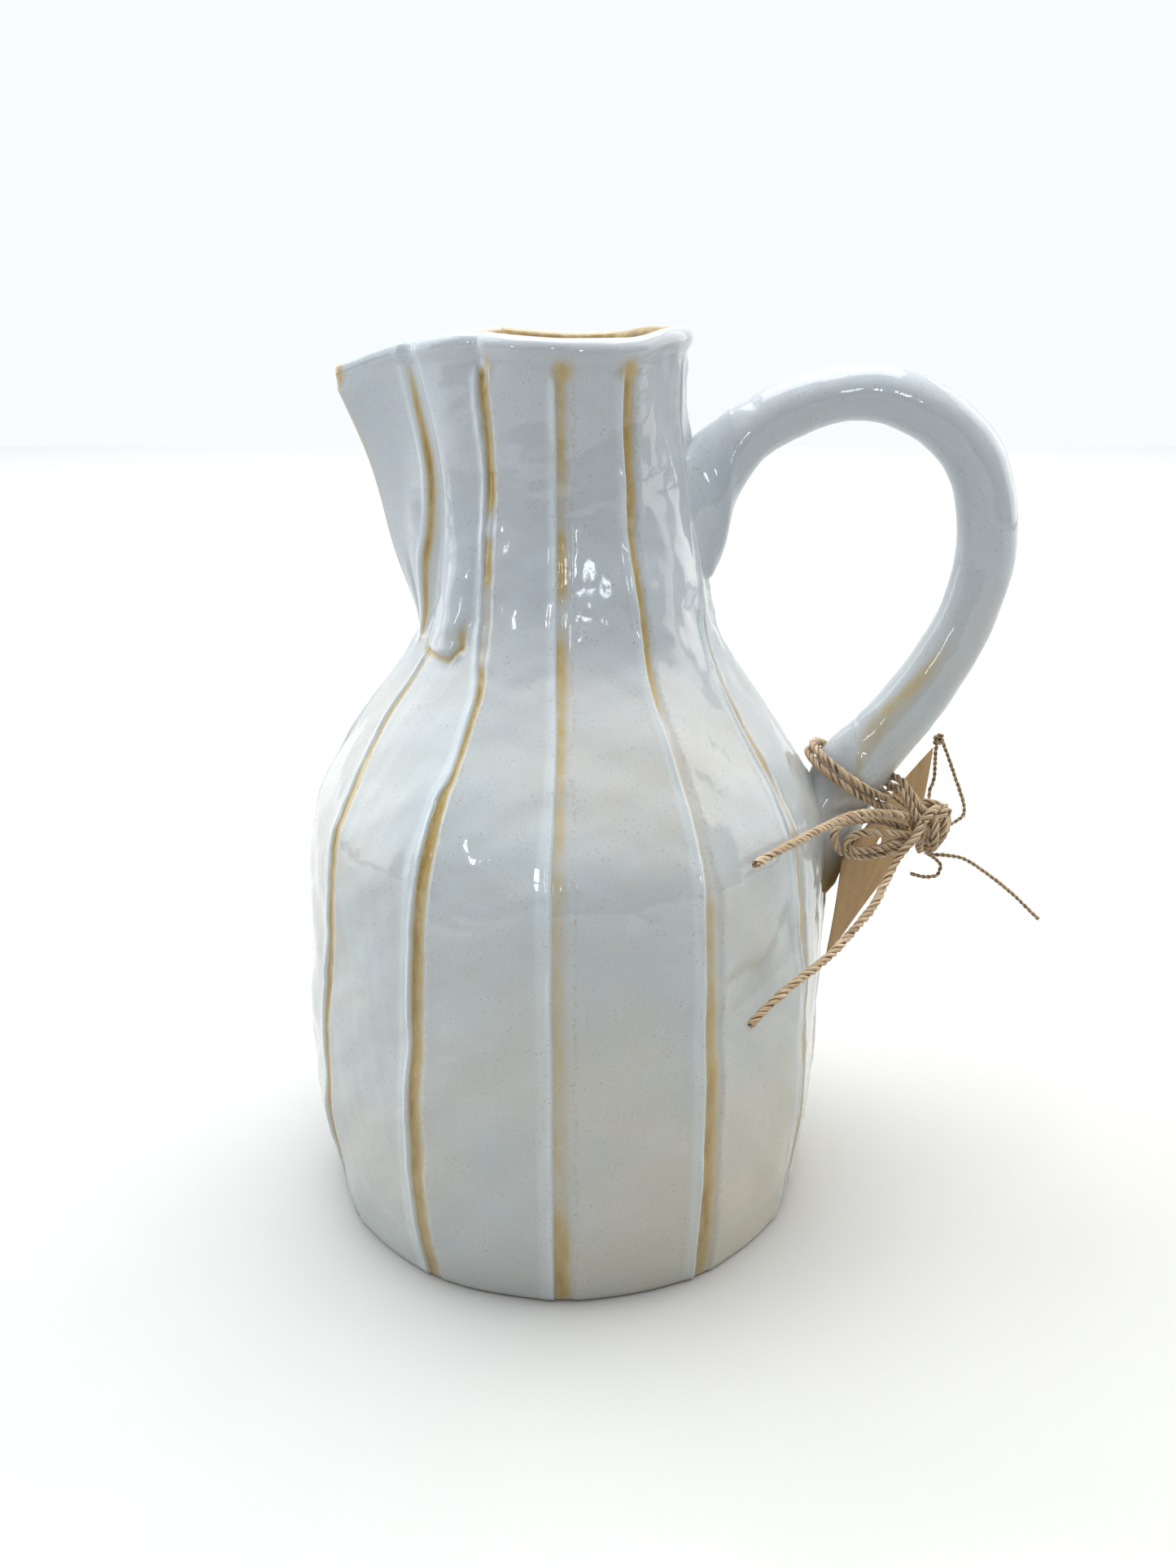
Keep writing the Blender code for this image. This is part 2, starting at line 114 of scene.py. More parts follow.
# ------------------------------------------------------------ handle and cords
HANDLE = [                     # centre x, z, half height, half width, pitch
    (40, 205.5, 21, 8.5, 0), (43, 210.5, 18.5, 8.5, 0), (45, 217.5, 12, 8, 5),
    (50, 223.5, 8.5, 8, 16), (58, 228.5, 8, 7.5, 28), (70, 232.5, 7.5, 7.5, 10),
    (83, 233, 7.5, 7.5, -9), (97, 227.5, 8, 8, -32), (108, 217.5, 8, 8, -56),
    (113.5, 203, 8, 8, -78), (114, 187, 8, 8, -98), (109.5, 170, 8, 8, -110),
    (101, 154, 8.5, 8.5, -123), (92.5, 142, 9, 8.5, -136), (86, 132.5, 12, 8.5, -162),
    (83, 126, 17, 9, -174), (80.5, 120, 22, 9, -180), (78.5, 116.5, 24, 9, -180),
]
TWINE = 2.5
TWINE_LAY = 7.0                # length of one full twist
STRING_LAY = 3.1
TWINE_SPACING, STRING_SPACING = 0.42, 0.3   # between points of a route
PLY_SHARE = {2: 0.27, 3: 0.245}             # a ply's radius against the rope's diameter
PLY_WANDER = 0.16                           # radians that a ply strays in its turn
PLY_UNEVEN = 0.07                           # share that its size and place vary
PLY_RIDGES = 0.055                          # height of the five ridges round a ply
KNOT_CENTRE = (104.0, -4.0, 112.5)
WRAP_CENTRE = (81.0, 0.0, 127.5)
WRAP_OUTWARD = (0.85, 0.0, -0.527)
WRAP_ALONG = (0.527, 0.0, 0.85)
WRAP_RADII = (13.2, 11.0)
WRAP_PITCH = 2.6
WRAP_START, WRAP_END, WRAP_STEP = 20, 690, 15
WRAP_FROM_KNOT = (99, -1, 120)
WRAP_TO_KNOT = (96.5, -5.5, 117)
BOW_ROUTE = [
    (97, -8.5, 113), (90, -11, 116.5), (82, -14, 118), (76, -17, 117.5), (74.5, -18, 114),
    (77, -17.5, 110), (83.5, -15, 107.5), (91, -12, 107.5), (97.5, -9, 108.5),
]
UPPER_TAIL_ROUTE = [
    (98.5, -9, 117), (87, -16, 121), (78.5, -21, 122), (71.5, -27.5, 122),
    (66, -35, 122.5), (60, -43, 123), (54, -50, 123), (48, -56.5, 122.5),
]
LOWER_TAIL_ROUTE = [
    (100.5, -12, 116.5), (98, -14, 112.5), (93.5, -16.5, 108), (89.5, -21, 103),
    (85, -28, 98.5), (77.5, -36.5, 94), (69, -46, 90.5), (59, -55, 87.5),
    (52, -60.5, 84), (47.5, -64, 81),
]
STRING = 1.2
STEM_ROUTE = [
    (105, 1, 121.5), (106.5, 3, 125), (106.5, 4, 132), (107, 4, 137.5), (109.5, 4, 132.5),
    (112.5, 3, 125), (115, 1, 118), (115, -0.5, 114.5), (112, -2, 112.5),
]
ENDS_ROUTE = [
    (100.5, -3, 97), (104.5, -3, 96), (108, -3, 96.5), (109, -3, 99.5), (107, -3.5, 102),
    (105, -4, 103.5), (106, -5.5, 104), (110, -6, 104), (115, -6.5, 103), (121, -8.5, 99.5),
    (127.5, -12, 95), (134.5, -17, 89),
]
TAG_LENGTH, TAG_HEIGHT, TAG_THICKNESS = 70.0, 38.0, 0.45
TAG_HOLE_RADIUS = 2.8
TAG_HOLE = np.array((93.9, 13.8, 99.0))
TAG_HOLE_ALONG = 0.47
TAG_HOLE_DOWN = 0.42


def unit(vector):
    vector = np.array(vector, float)
    return vector / np.linalg.norm(vector)


TAG_ALONG = unit((0.542, 0.814, 0.209))
TAG_FACE = unit(np.cross(TAG_ALONG, (0.025, -0.264, 0.964)))
TAG_UP = unit(np.cross(TAG_FACE, TAG_ALONG))


# ----------------------------------------------------------------- camera
CAMERA_PLACE = (0.0059, -0.3875, 0.2618)   # metres
CAMERA_DOWN = 19.6                         # degrees below level
CAMERA_LENS, CAMERA_SENSOR = 32.7, 36.0


def make_camera():
    data = bpy.data.cameras.new("camera")
    data.lens = CAMERA_LENS
    data.sensor_width = CAMERA_SENSOR
    data.clip_start = 0.01
    camera = bpy.data.objects.new("camera", data)
    camera.location = CAMERA_PLACE
    camera.rotation_euler = (math.radians(90.0 - CAMERA_DOWN), 0.0, 0.0)
    bpy.context.collection.objects.link(camera)
    bpy.context.scene.camera = camera


# ----------------------------------------------------------------- mathematics
def eased(table, value):
    """Smooth value between a table's rows, without overshoot."""
    x, y = np.array(table, float).T
    value = np.clip(np.asarray(value, float), x[0], x[-1])
    rise = np.diff(y) / np.diff(x)
    total = rise[:-1] + rise[1:]
    product = rise[:-1] * rise[1:]
    slope = np.concatenate(([rise[0]], np.zeros(len(x) - 2), [rise[-1]]))
    same = product > 0
    slope[1:-1][same] = 2 * product[same] / total[same]
    i = np.clip(np.searchsorted(x, value, side="right") - 1, 0, len(x) - 2)
    width = x[i + 1] - x[i]
    t = (value - x[i]) / width
    return ((1 + 2 * t) * (1 - t) ** 2 * y[i] + t * (1 - t) ** 2 * width * slope[i]
            + t * t * (3 - 2 * t) * y[i + 1] - t * t * (1 - t) * width * slope[i + 1])


def ramp(low, high, value):
    """0 below low, 1 above high, smooth between."""
    t = np.clip((np.asarray(value, float) - low) / (high - low), 0.0, 1.0)
    return t * t * (3 - 2 * t)


def hump(value, centre, half):
    """1 at the centre, fading as a bell whose half width is half."""
    return np.exp(-((np.asarray(value, float) - centre) / half) ** 2)


def smooth_rows(table, per_span):
    """A Catmull-Rom curve through a table's rows."""
    table = np.array(table, float)
    knots = np.vstack([2 * table[0] - table[1], table, 2 * table[-1] - table[-2]])
    rows = []
    for a, b, c, d in zip(knots, knots[1:], knots[2:], knots[3:]):
        for t in np.arange(per_span) / per_span:
            rows.append(0.5 * (2 * b + (c - a) * t + (2 * a - 5 * b + 4 * c - d) * t ** 2
                               + (3 * b - a - 3 * c + d) * t ** 3))
    rows.append(knots[-2])
    return np.array(rows)


class Wobble:
    """Smooth, repeatable unevenness: a sum of waves in random directions."""

    def __init__(self, length, waves=14):
        directions = RANDOM.normal(size=(waves, 3))
        directions /= np.linalg.norm(directions, axis=1)[:, None]
        scales = length * RANDOM.uniform(0.6, 1.7, size=waves)
        self.vectors = directions * (2 * math.pi / scales)[:, None]
        self.phases = RANDOM.uniform(0, 2 * math.pi, size=waves)
        self.gain = math.sqrt(2.0 / waves)

    def __call__(self, points):
        return np.sin(points @ self.vectors.T + self.phases).sum(axis=-1) * self.gain


# ----------------------------------------------------------------- mesh helpers
def mesh_object(name, points, faces, material, **attributes):
    """Object from points in millimetres, with a float value per point."""
    data = bpy.data.meshes.new(name)
    data.from_pydata((np.asarray(points) * MM).tolist(), [], faces)
    for key, values in attributes.items():
        values = np.asarray(values, np.float32)
        kind, field = ("FLOAT", "value") if values.ndim == 1 else ("FLOAT_VECTOR", "vector")
        data.attributes.new(key, kind, "POINT").data.foreach_set(field, values.ravel())
    data.shade_smooth()
    data.materials.append(material)
    data.validate()
    item = bpy.data.objects.new(name, data)
    bpy.context.collection.objects.link(item)
    return item


def grid_faces(rows, columns, closed=True, start=0):
    """Quads between rows of points; closed joins the last column to the first."""
    faces = []
    last = columns if closed else columns - 1
    for r in range(rows - 1):
        for c in range(last):
            d = (c + 1) % columns
            faces.append((start + r * columns + c, start + r * columns + d,
                          start + (r + 1) * columns + d, start + (r + 1) * columns + c))
    return faces


def cap_fan(ring, centre, flip=False):
    faces = []
    for a, b in zip(ring, ring[1:] + ring[:1]):
        faces.append((b, a, centre) if flip else (a, b, centre))
    return faces


# ----------------------------------------------------------------- materials
class Nodes:
    """A material's node tree, written as a few plain calls."""

    def __init__(self, name):
        self.material = bpy.data.materials.new(name)
        self.material.use_nodes = True
        self.tree = self.material.node_tree
        self.shader = self.tree.nodes["Principled BSDF"]
        self.place = self.add("ShaderNodeTexCoord").outputs["Object"]

    def add(self, kind, inputs=None, **settings):
        node = self.tree.nodes.new(kind)
        for key, value in settings.items():
            setattr(node, key, value)
        for key, value in (inputs or {}).items():
            self.feed(node.inputs[key], value)
        return node

    def feed(self, socket, value):
        if isinstance(value, bpy.types.NodeSocket):
            self.tree.links.new(value, socket)
        elif socket.type == "RGBA" and len(value) == 3:
            socket.default_value = (*value, 1.0)
        else:
            socket.default_value = value

    def noise(self, scale, detail=3.0, roughness=0.5, vector=None, distortion=0.0):
        node = self.add("ShaderNodeTexNoise", {
            "Vector": vector or self.place, "Scale": scale, "Detail": detail,
            "Roughness": roughness, "Distortion": distortion})
        return node.outputs["Fac"]

    def level(self, value, low, high, to_low=0.0, to_high=1.0):
        node = self.add("ShaderNodeMapRange", {
            "Value": value, "From Min": low, "From Max": high,
            "To Min": to_low, "To Max": to_high}, interpolation_type="SMOOTHSTEP")
        return node.outputs["Result"]

    def maths(self, operation, a, b=0.0):
        node = self.add("ShaderNodeMath", {0: a, 1: b}, operation=operation)
        return node.outputs[0]

    def mix(self, share, a, b):
        node = self.add("ShaderNodeMix", data_type="RGBA")
        self.feed(node.inputs[0], share)
        self.feed(node.inputs[6], a)
        self.feed(node.inputs[7], b)
        return node.outputs[2]

    def tint(self, colour, other, mask, amount):
        """Colour, with the other one laid over it where the mask is."""
        return self.mix(self.maths("MULTIPLY", mask, amount), colour, other)

    def stretched(self, vector, scale):
        return self.add("ShaderNodeMapping", {"Vector": vector, "Scale": scale}).outputs[0]

    def read(self, name, field="Fac"):
        return self.add("ShaderNodeAttribute", attribute_name=name).outputs[field]

    def bump(self, height, distance, strength=1.0, below=None):
        inputs = {"Height": height, "Distance": distance, "Strength": strength}
        if below is not None:
            inputs["Normal"] = below
        return self.add("ShaderNodeBump", inputs).outputs["Normal"]

    def finish(self, **inputs):
        for key, value in inputs.items():
            self.feed(self.shader.inputs[key.replace("_", " ")], value)
        return self.material


COOL_WHITE = (0.46, 0.50, 0.515)
WARM_WHITE = (0.54, 0.51, 0.455)
GREY_WHITE = (0.50, 0.53, 0.525)
NECK_WHITE = (0.46, 0.505, 0.555)
FOOT_WHITE = (0.55, 0.51, 0.40)
POOLED_WHITE = (0.62, 0.68, 0.71)
PALE_OCHRE = (0.47, 0.355, 0.16)
DEEP_OCHRE = (0.30, 0.185, 0.05)
IRON_FLECK = (0.34, 0.27, 0.23)
FINE_GRAIN = (0.40, 0.36, 0.34)
RED_DOTS = (0.44, 0.29, 0.20)
DARK_CLAY = (0.47, 0.38, 0.28)
PALE_CLAY = (0.62, 0.54, 0.43)


def glaze_material(name):
    """Opaque white glaze: cool and warm drifts, iron specks, ochre breaks."""
    n = Nodes(name)
    drift = n.level(n.noise(22.0, 3.0, 0.55), 0.35, 0.68)
    cloud = n.level(n.noise(95.0, 4.0, 0.6), 0.35, 0.75, 0.0, 0.6)
    colour = n.tint(COOL_WHITE, WARM_WHITE, drift, 0.75)
    colour = n.mix(cloud, colour, GREY_WHITE)
    place = n.add("ShaderNodeSeparateXYZ", {0: n.place}).outputs
    colour = n.mix(n.level(place["Z"], 0.14, 0.20, 0.0, 0.65), colour, NECK_WHITE)
    warm_foot = n.maths("MULTIPLY", n.level(place["Z"], 0.01, 0.11, 0.75, 0.0),
                        n.level(place["X"], -0.03, 0.05, 0.2, 1.0))
    colour = n.mix(warm_foot, colour, FOOT_WHITE)
    ochre = n.read("ochre")
    downward = n.stretched(n.place, (1.0, 1.0, 0.3))
    uneven = n.level(n.noise(300.0, 4.0, 0.65, vector=downward), 0.25, 0.75, 0.7, 1.25)
    colour = n.tint(colour, POOLED_WHITE, n.read("pool"), 0.4)
    amount = n.maths("MULTIPLY", ochre, uneven)
    colour = n.mix(n.level(amount, 0.02, 0.6), colour, PALE_OCHRE)
    colour = n.mix(n.level(amount, 0.45, 1.25), colour, DEEP_OCHRE)
    flecks = n.add("ShaderNodeTexVoronoi", {"Vector": n.place, "Scale": 620.0,
                                            "Randomness": 1.0}).outputs["Distance"]
    fleck_field = n.level(n.noise(190.0, 2.0), 0.45, 0.62)
    fleck = n.maths("MULTIPLY", n.level(flecks, 0.1, 0.27, 1.0, 0.0), fleck_field)
    colour = n.tint(colour, IRON_FLECK, fleck, 0.45)
    grains = n.level(n.noise(1500.0, 2.0, 0.6), 0.54, 0.72, 0.0, 0.38)
    colour = n.mix(grains, colour, FINE_GRAIN)
    dots = n.maths("MULTIPLY", n.read("dots"), n.level(n.noise(900.0, 3.0, 0.7), 0.47, 0.6))
    colour = n.tint(colour, RED_DOTS, dots, 0.55)
    clay = n.read("clay")
    clay_grain = n.level(n.noise(420.0, 5.0, 0.7), 0.3, 0.7)
    clay_colour = n.mix(clay_grain, DARK_CLAY, PALE_CLAY)
    colour = n.mix(clay, colour, clay_colour)
    gloss = n.level(n.noise(60.0, 3.0), 0.3, 0.7, 0.05, 0.10)
    rough = n.add("ShaderNodeMix", {0: clay}, data_type="FLOAT")
    n.feed(rough.inputs[2], gloss)
    n.feed(rough.inputs[3], 0.85)
    orange_peel = n.noise(330.0, 2.0, 0.5)
    waves = n.noise(75.0, 2.0, 0.4)
    pits = n.level(flecks, 0.03, 0.12)
    normal = n.bump(waves, 0.0009, 0.38)
    normal = n.bump(orange_peel, 0.00016, 0.25, normal)
    normal = n.bump(n.maths("MULTIPLY", pits, fleck_field), 0.00005, 0.3, normal)
    return n.finish(Base_Color=colour, Roughness=rough.outputs[0], Normal=normal, IOR=1.52)


def fibre_material(name, light, middle, dark):
    """Twisted plant fibre: streaks along each ply, painted shade in the crevices where the plies meet, and
    a faint lustre.
    """
    n = Nodes(name)
    strand = n.read("strand", "Vector")
    fine = n.noise(1.0, 4.0, 0.65, vector=n.stretched(strand, (5.5, 0.35, 1.0)))
    broad = n.noise(1.0, 3.0, 0.6, vector=n.stretched(strand, (1.6, 0.12, 1.0)))
    colour = n.mix(n.level(broad, 0.3, 0.7), middle, light)
    colour = n.mix(n.level(fine, 0.52, 0.75, 0.0, 0.75), colour, dark)
    colour = n.mix(n.level(n.noise(160.0, 3.0), 0.55, 0.8, 0.0, 0.5), colour, light)
    # Painted shade: the crevices between plies are darkened towards the dark fibre colour.
    crevice = n.read("crevice")
    colour = n.mix(n.level(crevice, 0.15, 0.85, 0.0, 0.9), colour, dark)
    normal = n.bump(fine, 0.00022, 0.8)
    rough = n.level(fine, 0.3, 0.7, 0.30, 0.6)
    return n.finish(Base_Color=colour, Roughness=rough, Normal=normal,
                    Sheen_Weight=0.25, Sheen_Roughness=0.4, Specular_IOR_Level=0.45)


def kraft_material():
    """Unbleached card with pressed fibres."""
    n = Nodes("kraft_card")
    fibres = n.noise(900.0, 5.0, 0.7, vector=n.stretched(n.place, (1.0, 1.0, 2.6)), distortion=0.6)
    blotch = n.noise(120.0, 4.0, 0.6)
    colour = n.mix(n.level(blotch, 0.3, 0.7), (0.26, 0.158, 0.058), (0.325, 0.205, 0.088))
    colour = n.mix(n.level(fibres, 0.55, 0.75, 0.0, 0.5), colour, (0.52, 0.37, 0.19))
    colour = n.mix(n.level(fibres, 0.22, 0.4, 0.5, 0.0), colour, (0.17, 0.09, 0.035))
    normal = n.bump(fibres, 0.00008, 0.6)
    return n.finish(Base_Color=colour, Roughness=0.82, Normal=normal, Specular_IOR_Level=0.25)


def floor_material():
    n = Nodes("paper_floor")
    grain = n.noise(12.0, 3.0)
    near = n.mix(grain, (0.50, 0.495, 0.477), (0.54, 0.535, 0.517))
    # Painted light: the floor is painted paler away from the middle, making up for the light that falls off
    # towards the far floor.
    away = n.add("ShaderNodeVectorMath", {0: n.place}, operation="LENGTH").outputs["Value"]
    colour = n.mix(n.level(away, 0.3, 1.6), near, (0.86, 0.87, 0.875))
    return n.finish(Base_Color=colour, Roughness=0.75, Specular_IOR_Level=0.2)


# ----------------------------------------------------------------- cords
def lengths_along(route):
    """Distance of each point from the route's start."""
    return np.concatenate(([0.0], np.cumsum(np.linalg.norm(np.diff(route, axis=0), axis=1))))


def smooth_route(points, spacing):
    """Even points along a smooth curve through the given ones."""
    fine = smooth_rows(points, 16)
    lengths = lengths_along(fine)
    count = max(4, round(lengths[-1] / spacing))
    at = np.linspace(0.0, lengths[-1], count + 1)
    return np.column_stack([np.interp(at, lengths, fine[:, axis]) for axis in range(3)])


def route_length(route):
    return float(np.linalg.norm(np.diff(route, axis=0), axis=1).sum())


def carried_frames(route):
    """Tangent and two side directions carried along a route without twist."""
    tangents = np.gradient(route, axis=0)
    tangents /= np.linalg.norm(tangents, axis=1)[:, None]
    side = np.cross(tangents[0], (0.0, 0.3, 1.0))
    sides = []
    for tangent in tangents:
        side = side - tangent * np.dot(side, tangent)
        side = side / np.linalg.norm(side)
        sides.append(side)
    sides = np.array(sides)
    return tangents, sides, np.cross(tangents, sides)


def tube_points(route, radius, around, twist=None):
    """Rings of points round a route; radius is one per row, or one per point."""
    _, sides, ups = carried_frames(route)
    turns = np.arange(around) * 2 * math.pi / around
    turns = turns[None, :] + (np.zeros(len(route)) if twist is None else twist)[:, None]
    if np.ndim(radius) < 2:
        radius = np.asarray(radius, float).reshape(-1, 1)
    return (route[:, None, :] + sides[:, None, :] * (np.cos(turns) * radius)[..., None]
            + ups[:, None, :] * (np.sin(turns) * radius)[..., None])


class Strands:
    """Collects tubes into one mesh, with each point's place on its strand and how much painted crevice
    shade it gets.
    """

    def __init__(self):
        self.points, self.faces, self.places, self.painted_crevice_shades = [], [], [], []
        self.count = 0

    def tube(self, route, radius, around, twist=None, core=None, core_radius=1.0):
        """One round strand; core is the middle of the rope it lies in, and points near it get painted
        crevice shade.
        """
        points = tube_points(route, radius, around, twist)
        rows = len(route)
        along = lengths_along(route)
        seed = RANDOM.uniform(0, 500)
        turn = np.arange(around) * 2 * math.pi / around
        places = np.empty((rows, around, 3))
        places[..., 0] = np.cos(turn)[None, :] + seed
        places[..., 1] = along[:, None] + 1.5 * np.sin(turn)[None, :]
        places[..., 2] = np.sin(turn)[None, :] * 1.4
        start = self.count
        self.faces += grid_faces(rows, around, start=start)
        self.points += [points.reshape(-1, 3), route[[0, -1]]]
        self.places += [places.reshape(-1, 3), places[[0, -1], 0]]
        # Painted shade: points close to the rope's core, down between the plies, are marked to be darkened.
        crevice = np.zeros((rows, around))
        if core is not None:
            away = np.linalg.norm(points - core[:, None, :], axis=2) / core_radius
            crevice = ramp(0.98, 0.5, away)
        self.painted_crevice_shades += [crevice.ravel(), np.zeros(2)]
        head = list(range(start, start + around))
        tail = list(range(start + (rows - 1) * around, start + rows * around))
        self.faces += cap_fan(head, start + rows * around, flip=True)
        self.faces += cap_fan(tail, start + rows * around + 1)
        self.count += rows * around + 2

    def rope(self, route, diameter, plies, lay, around=10, start_turn=0.0):
        """Plies twisted about a route; lay is the length of one full turn."""
        _, sides, ups = carried_frames(route)
        along = lengths_along(route)
        ply_radius = diameter * PLY_SHARE[plies]
        offset = diameter / 2 - ply_radius
        for ply in range(plies):
            loose = Wobble(4.5)
            line = np.column_stack([along + 91.0 * ply, np.zeros(len(along)), np.zeros(len(along))])
            turn = start_turn + 2 * math.pi * (ply / plies + along / lay) + PLY_WANDER * loose(line)
            away = offset * (1 + PLY_UNEVEN * loose(line + 40.0))
            middle = (route + sides * (np.cos(turn) * away)[:, None]
                      + ups * (np.sin(turn) * away)[:, None])
            thick = ply_radius * (1 + PLY_UNEVEN * loose(line - 70.0))
            ridge = 1 + PLY_RIDGES * np.cos(5 * np.arange(around) * 2 * math.pi / around)[None, :]
            self.tube(middle, thick[:, None] * ridge, around, twist=turn * 0.6,
                      core=route, core_radius=diameter / 2)

    def stray(self, origin, direction, length, radius=0.055):
        """A loose fibre that curls away from its strand."""
        direction = unit(direction)
        bend = unit(np.cross(direction, RANDOM.normal(size=3)))
        t = np.linspace(0.0, 1.0, 7)[:, None]
        curl = RANDOM.uniform(-0.45, 0.45) * length
        route = origin + direction * (t * length) + bend * (curl * t * t)
        self.tube(route, radius * (1 - 0.7 * t[:, 0]), 3)

    def fuzz(self, route, diameter, per_length, longest):
        """Loose fibres along a rope, mostly lying along it."""
        tangents, sides, ups = carried_frames(route)
        count = int(route_length(route) * per_length)
        for _ in range(count):
            i = RANDOM.integers(0, len(route))
            angle = RANDOM.uniform(0, 2 * math.pi)
            out = sides[i] * math.cos(angle) + ups[i] * math.sin(angle)
            lean = RANDOM.uniform(0.15, 0.75)
            direction = tangents[i] * RANDOM.choice((-1, 1)) * (1 - lean) + out * lean
            length = RANDOM.uniform(0.3, 1.0) * longest
            self.stray(route[i] + out * diameter * 0.42, direction, length)

    def frayed_end(self, route, diameter, last=True, count=26):
        """Fibres that fan out of a cut end."""
        tip, before = (route[-1], route[-4]) if last else (route[0], route[3])
        direction = unit(tip - before)
        for _ in range(count):
            spread = RANDOM.normal(size=3) * 0.28
            origin = tip - direction * 0.6 + RANDOM.normal(size=3) * diameter * 0.17
            self.stray(origin, direction + spread, RANDOM.uniform(0.35, 0.9) * diameter, 0.07)

    def build(self, name, material):
        return mesh_object(name, np.concatenate(self.points), self.faces, material,
                           strand=np.concatenate(self.places), crevice=np.concatenate(self.painted_crevice_shades))


def wrap_route():
    """From the knot, twice round the handle's foot, and back to the knot."""
    middle = (WRAP_START + WRAP_END) / 2
    route = [WRAP_FROM_KNOT]
    for degrees in range(WRAP_START, WRAP_END + 1, WRAP_STEP):
        angle = math.radians(degrees)
        place = (np.array(WRAP_CENTRE) + np.array(WRAP_OUTWARD) * (WRAP_RADII[0] * math.cos(angle))
                 + np.array((0.0, WRAP_RADII[1] * math.sin(angle), 0.0))
                 + np.array(WRAP_ALONG) * (WRAP_PITCH * (middle - degrees) / 360.0))
        route.append(tuple(place))
    route.append(WRAP_TO_KNOT)
    return route


def tag_string_route():
    """From the knot, through the tag's hole, over its top edge and back."""
    above_edge = TAG_HOLE_DOWN * TAG_HEIGHT + 3.4
    behind = -2.8
    inside = [(0.4, 1.6), (0.2, -1.2), (3.5, behind), (9.0, behind),
              (above_edge - 1.4, behind + 0.9), (above_edge, 0.6)]
    turned = [TAG_HOLE + TAG_UP * y + TAG_FACE * z for y, z in inside]
    start = [(101, 2.5, 106.5), (98, 8.5, 102)]
    finish = [(98.5, 6.5, 115.5), (101.5, 3.5, 114)]
    return start + [tuple(place) for place in turned] + finish


def cord(name, node, points, diameter, material, frays=(),
         hitch=None):
    """Build one declared cord of twisted plies along its route."""
    thick = diameter > 2.0
    route = smooth_route(points, TWINE_SPACING if thick else STRING_SPACING)
    strands = Strands()
    if thick:
        strands.rope(route, diameter, 3, TWINE_LAY, around=10)
        strands.fuzz(route, diameter, 0.7, 2.4)
    else:
        strands.rope(route, diameter, 2, STRING_LAY, around=8)
        strands.fuzz(route, diameter, 0.6, 1.8)
    if hitch is not None:
        turns = np.linspace(0.0, 2 * math.pi, 24)[:, None]
        for tilt, drop in ((0.3, 0.0), (-0.4, 1.0), (0.1, 1.9)):
            loop = (np.array(hitch) + np.array((1.0, 0.0, tilt)) * np.cos(turns)
                    + np.array((0.0, 1.0, -tilt)) * np.sin(turns) - np.array((0.0, 0.0, drop)))
            strands.rope(smooth_route(loop, STRING_SPACING), diameter, 2, STRING_LAY, around=8)
    for end in frays:
        strands.frayed_end(route, diameter, last=end == "last")
    piece = strands.build(name, material)
    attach(piece, "pitcher")
    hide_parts(node)
    return piece


KNOT_LOOPS = [                 # two directions that span the loop, shift, long, short
    ((0.3, 0.2, 1.0), (0.9, -0.4, 0.0), (0.5, 0.0, 0.5), 5.2, 4.6),
    ((1.0, -0.1, 0.6), (0.1, 1.0, 0.1), (0.5, 0.0, 2.5), 5.2, 4.6),
    ((0.8, -0.2, -0.8), (0.3, 0.9, 0.2), (-1.0, 0.0, -1.5), 5.0, 4.6),
    ((0.1, 0.6, 0.9), (0.5, -0.8, 0.2), (2.0, 0.0, -0.5), 4.8, 4.4),
    ((0.6, 0.3, 0.7), (0.6, -0.7, -0.3), (0.0, -1.5, 0.0), 3.2, 2.6),
    ((1.0, 0.2, -0.2), (0.1, 0.3, 1.0), (0.5, -3.0, 0.5), 3.4, 2.4),
    ((0.2, 0.2, 1.0), (1.0, 0.1, -0.2), (0.5, 1.5, 0.0), 2.6, 2.2),
]
KNOT_STRANDS = [
    # The standing part comes up behind the handle and over the knot, doubled.
    [(92, 2.5, 124.5), (92.5, -1, 126.5), (94.5, -4.5, 127), (97, -7.5, 124.5),
     (99.5, -9, 121), (103, -9, 117.5), (106, -6.5, 114.5)],
    [(92.5, -1.5, 123.5), (94.5, -6, 124.5), (96.5, -9, 122), (98.5, -10.5, 118.5),
     (101, -10.5, 115), (103.5, -9, 112)],
    # A smaller second loop lies inside the bow.
    [(99, -10.5, 112), (92.5, -13, 113.5), (86.5, -15.5, 115), (80.5, -17.5, 115),
     (78, -18.5, 112.5), (80.5, -18, 110.5), (86, -16, 110), (92, -13.5, 110.5), (99, -9.5, 110.5)],
    # Turns over the front of the lump and round its outer side.
    [(101, -4, 119), (101, -9, 118), (100.5, -11, 114.5), (100.5, -10.5, 110),
     (101.5, -7, 106.5), (103, -3, 105.5)],
    [(104.5, -3, 118.5), (104.5, -8.5, 117), (104.5, -10.5, 113), (105, -9.5, 109), (106, -5, 106)],
    [(99, -4, 118), (103, -5, 120), (107, -4.5, 118.5), (109.5, -3.5, 115), (109, -4, 110.5),
     (106, -5.5, 107), (101, -7.5, 106.5)],
    # The lower tail leaves from the top of the lump.
    [(107, -3, 117), (105, -7.5, 119), (102.5, -10.5, 118.5), (100.5, -12, 116.5)],
]


STRING_TUCKS = [               # the string's ends, where they go under the twine
    [(105, -4, 103.5), (103.5, -5.5, 105), (103, -6, 107.5)],
    [(106, -5.5, 104), (104.5, -7, 105.5), (104, -7, 108)],
    [(112, -2, 112.5), (109.5, -3, 112), (107, -4, 112.5)],
    [(105, 1, 121.5), (104.5, -1, 119), (104, -2, 117)],
]


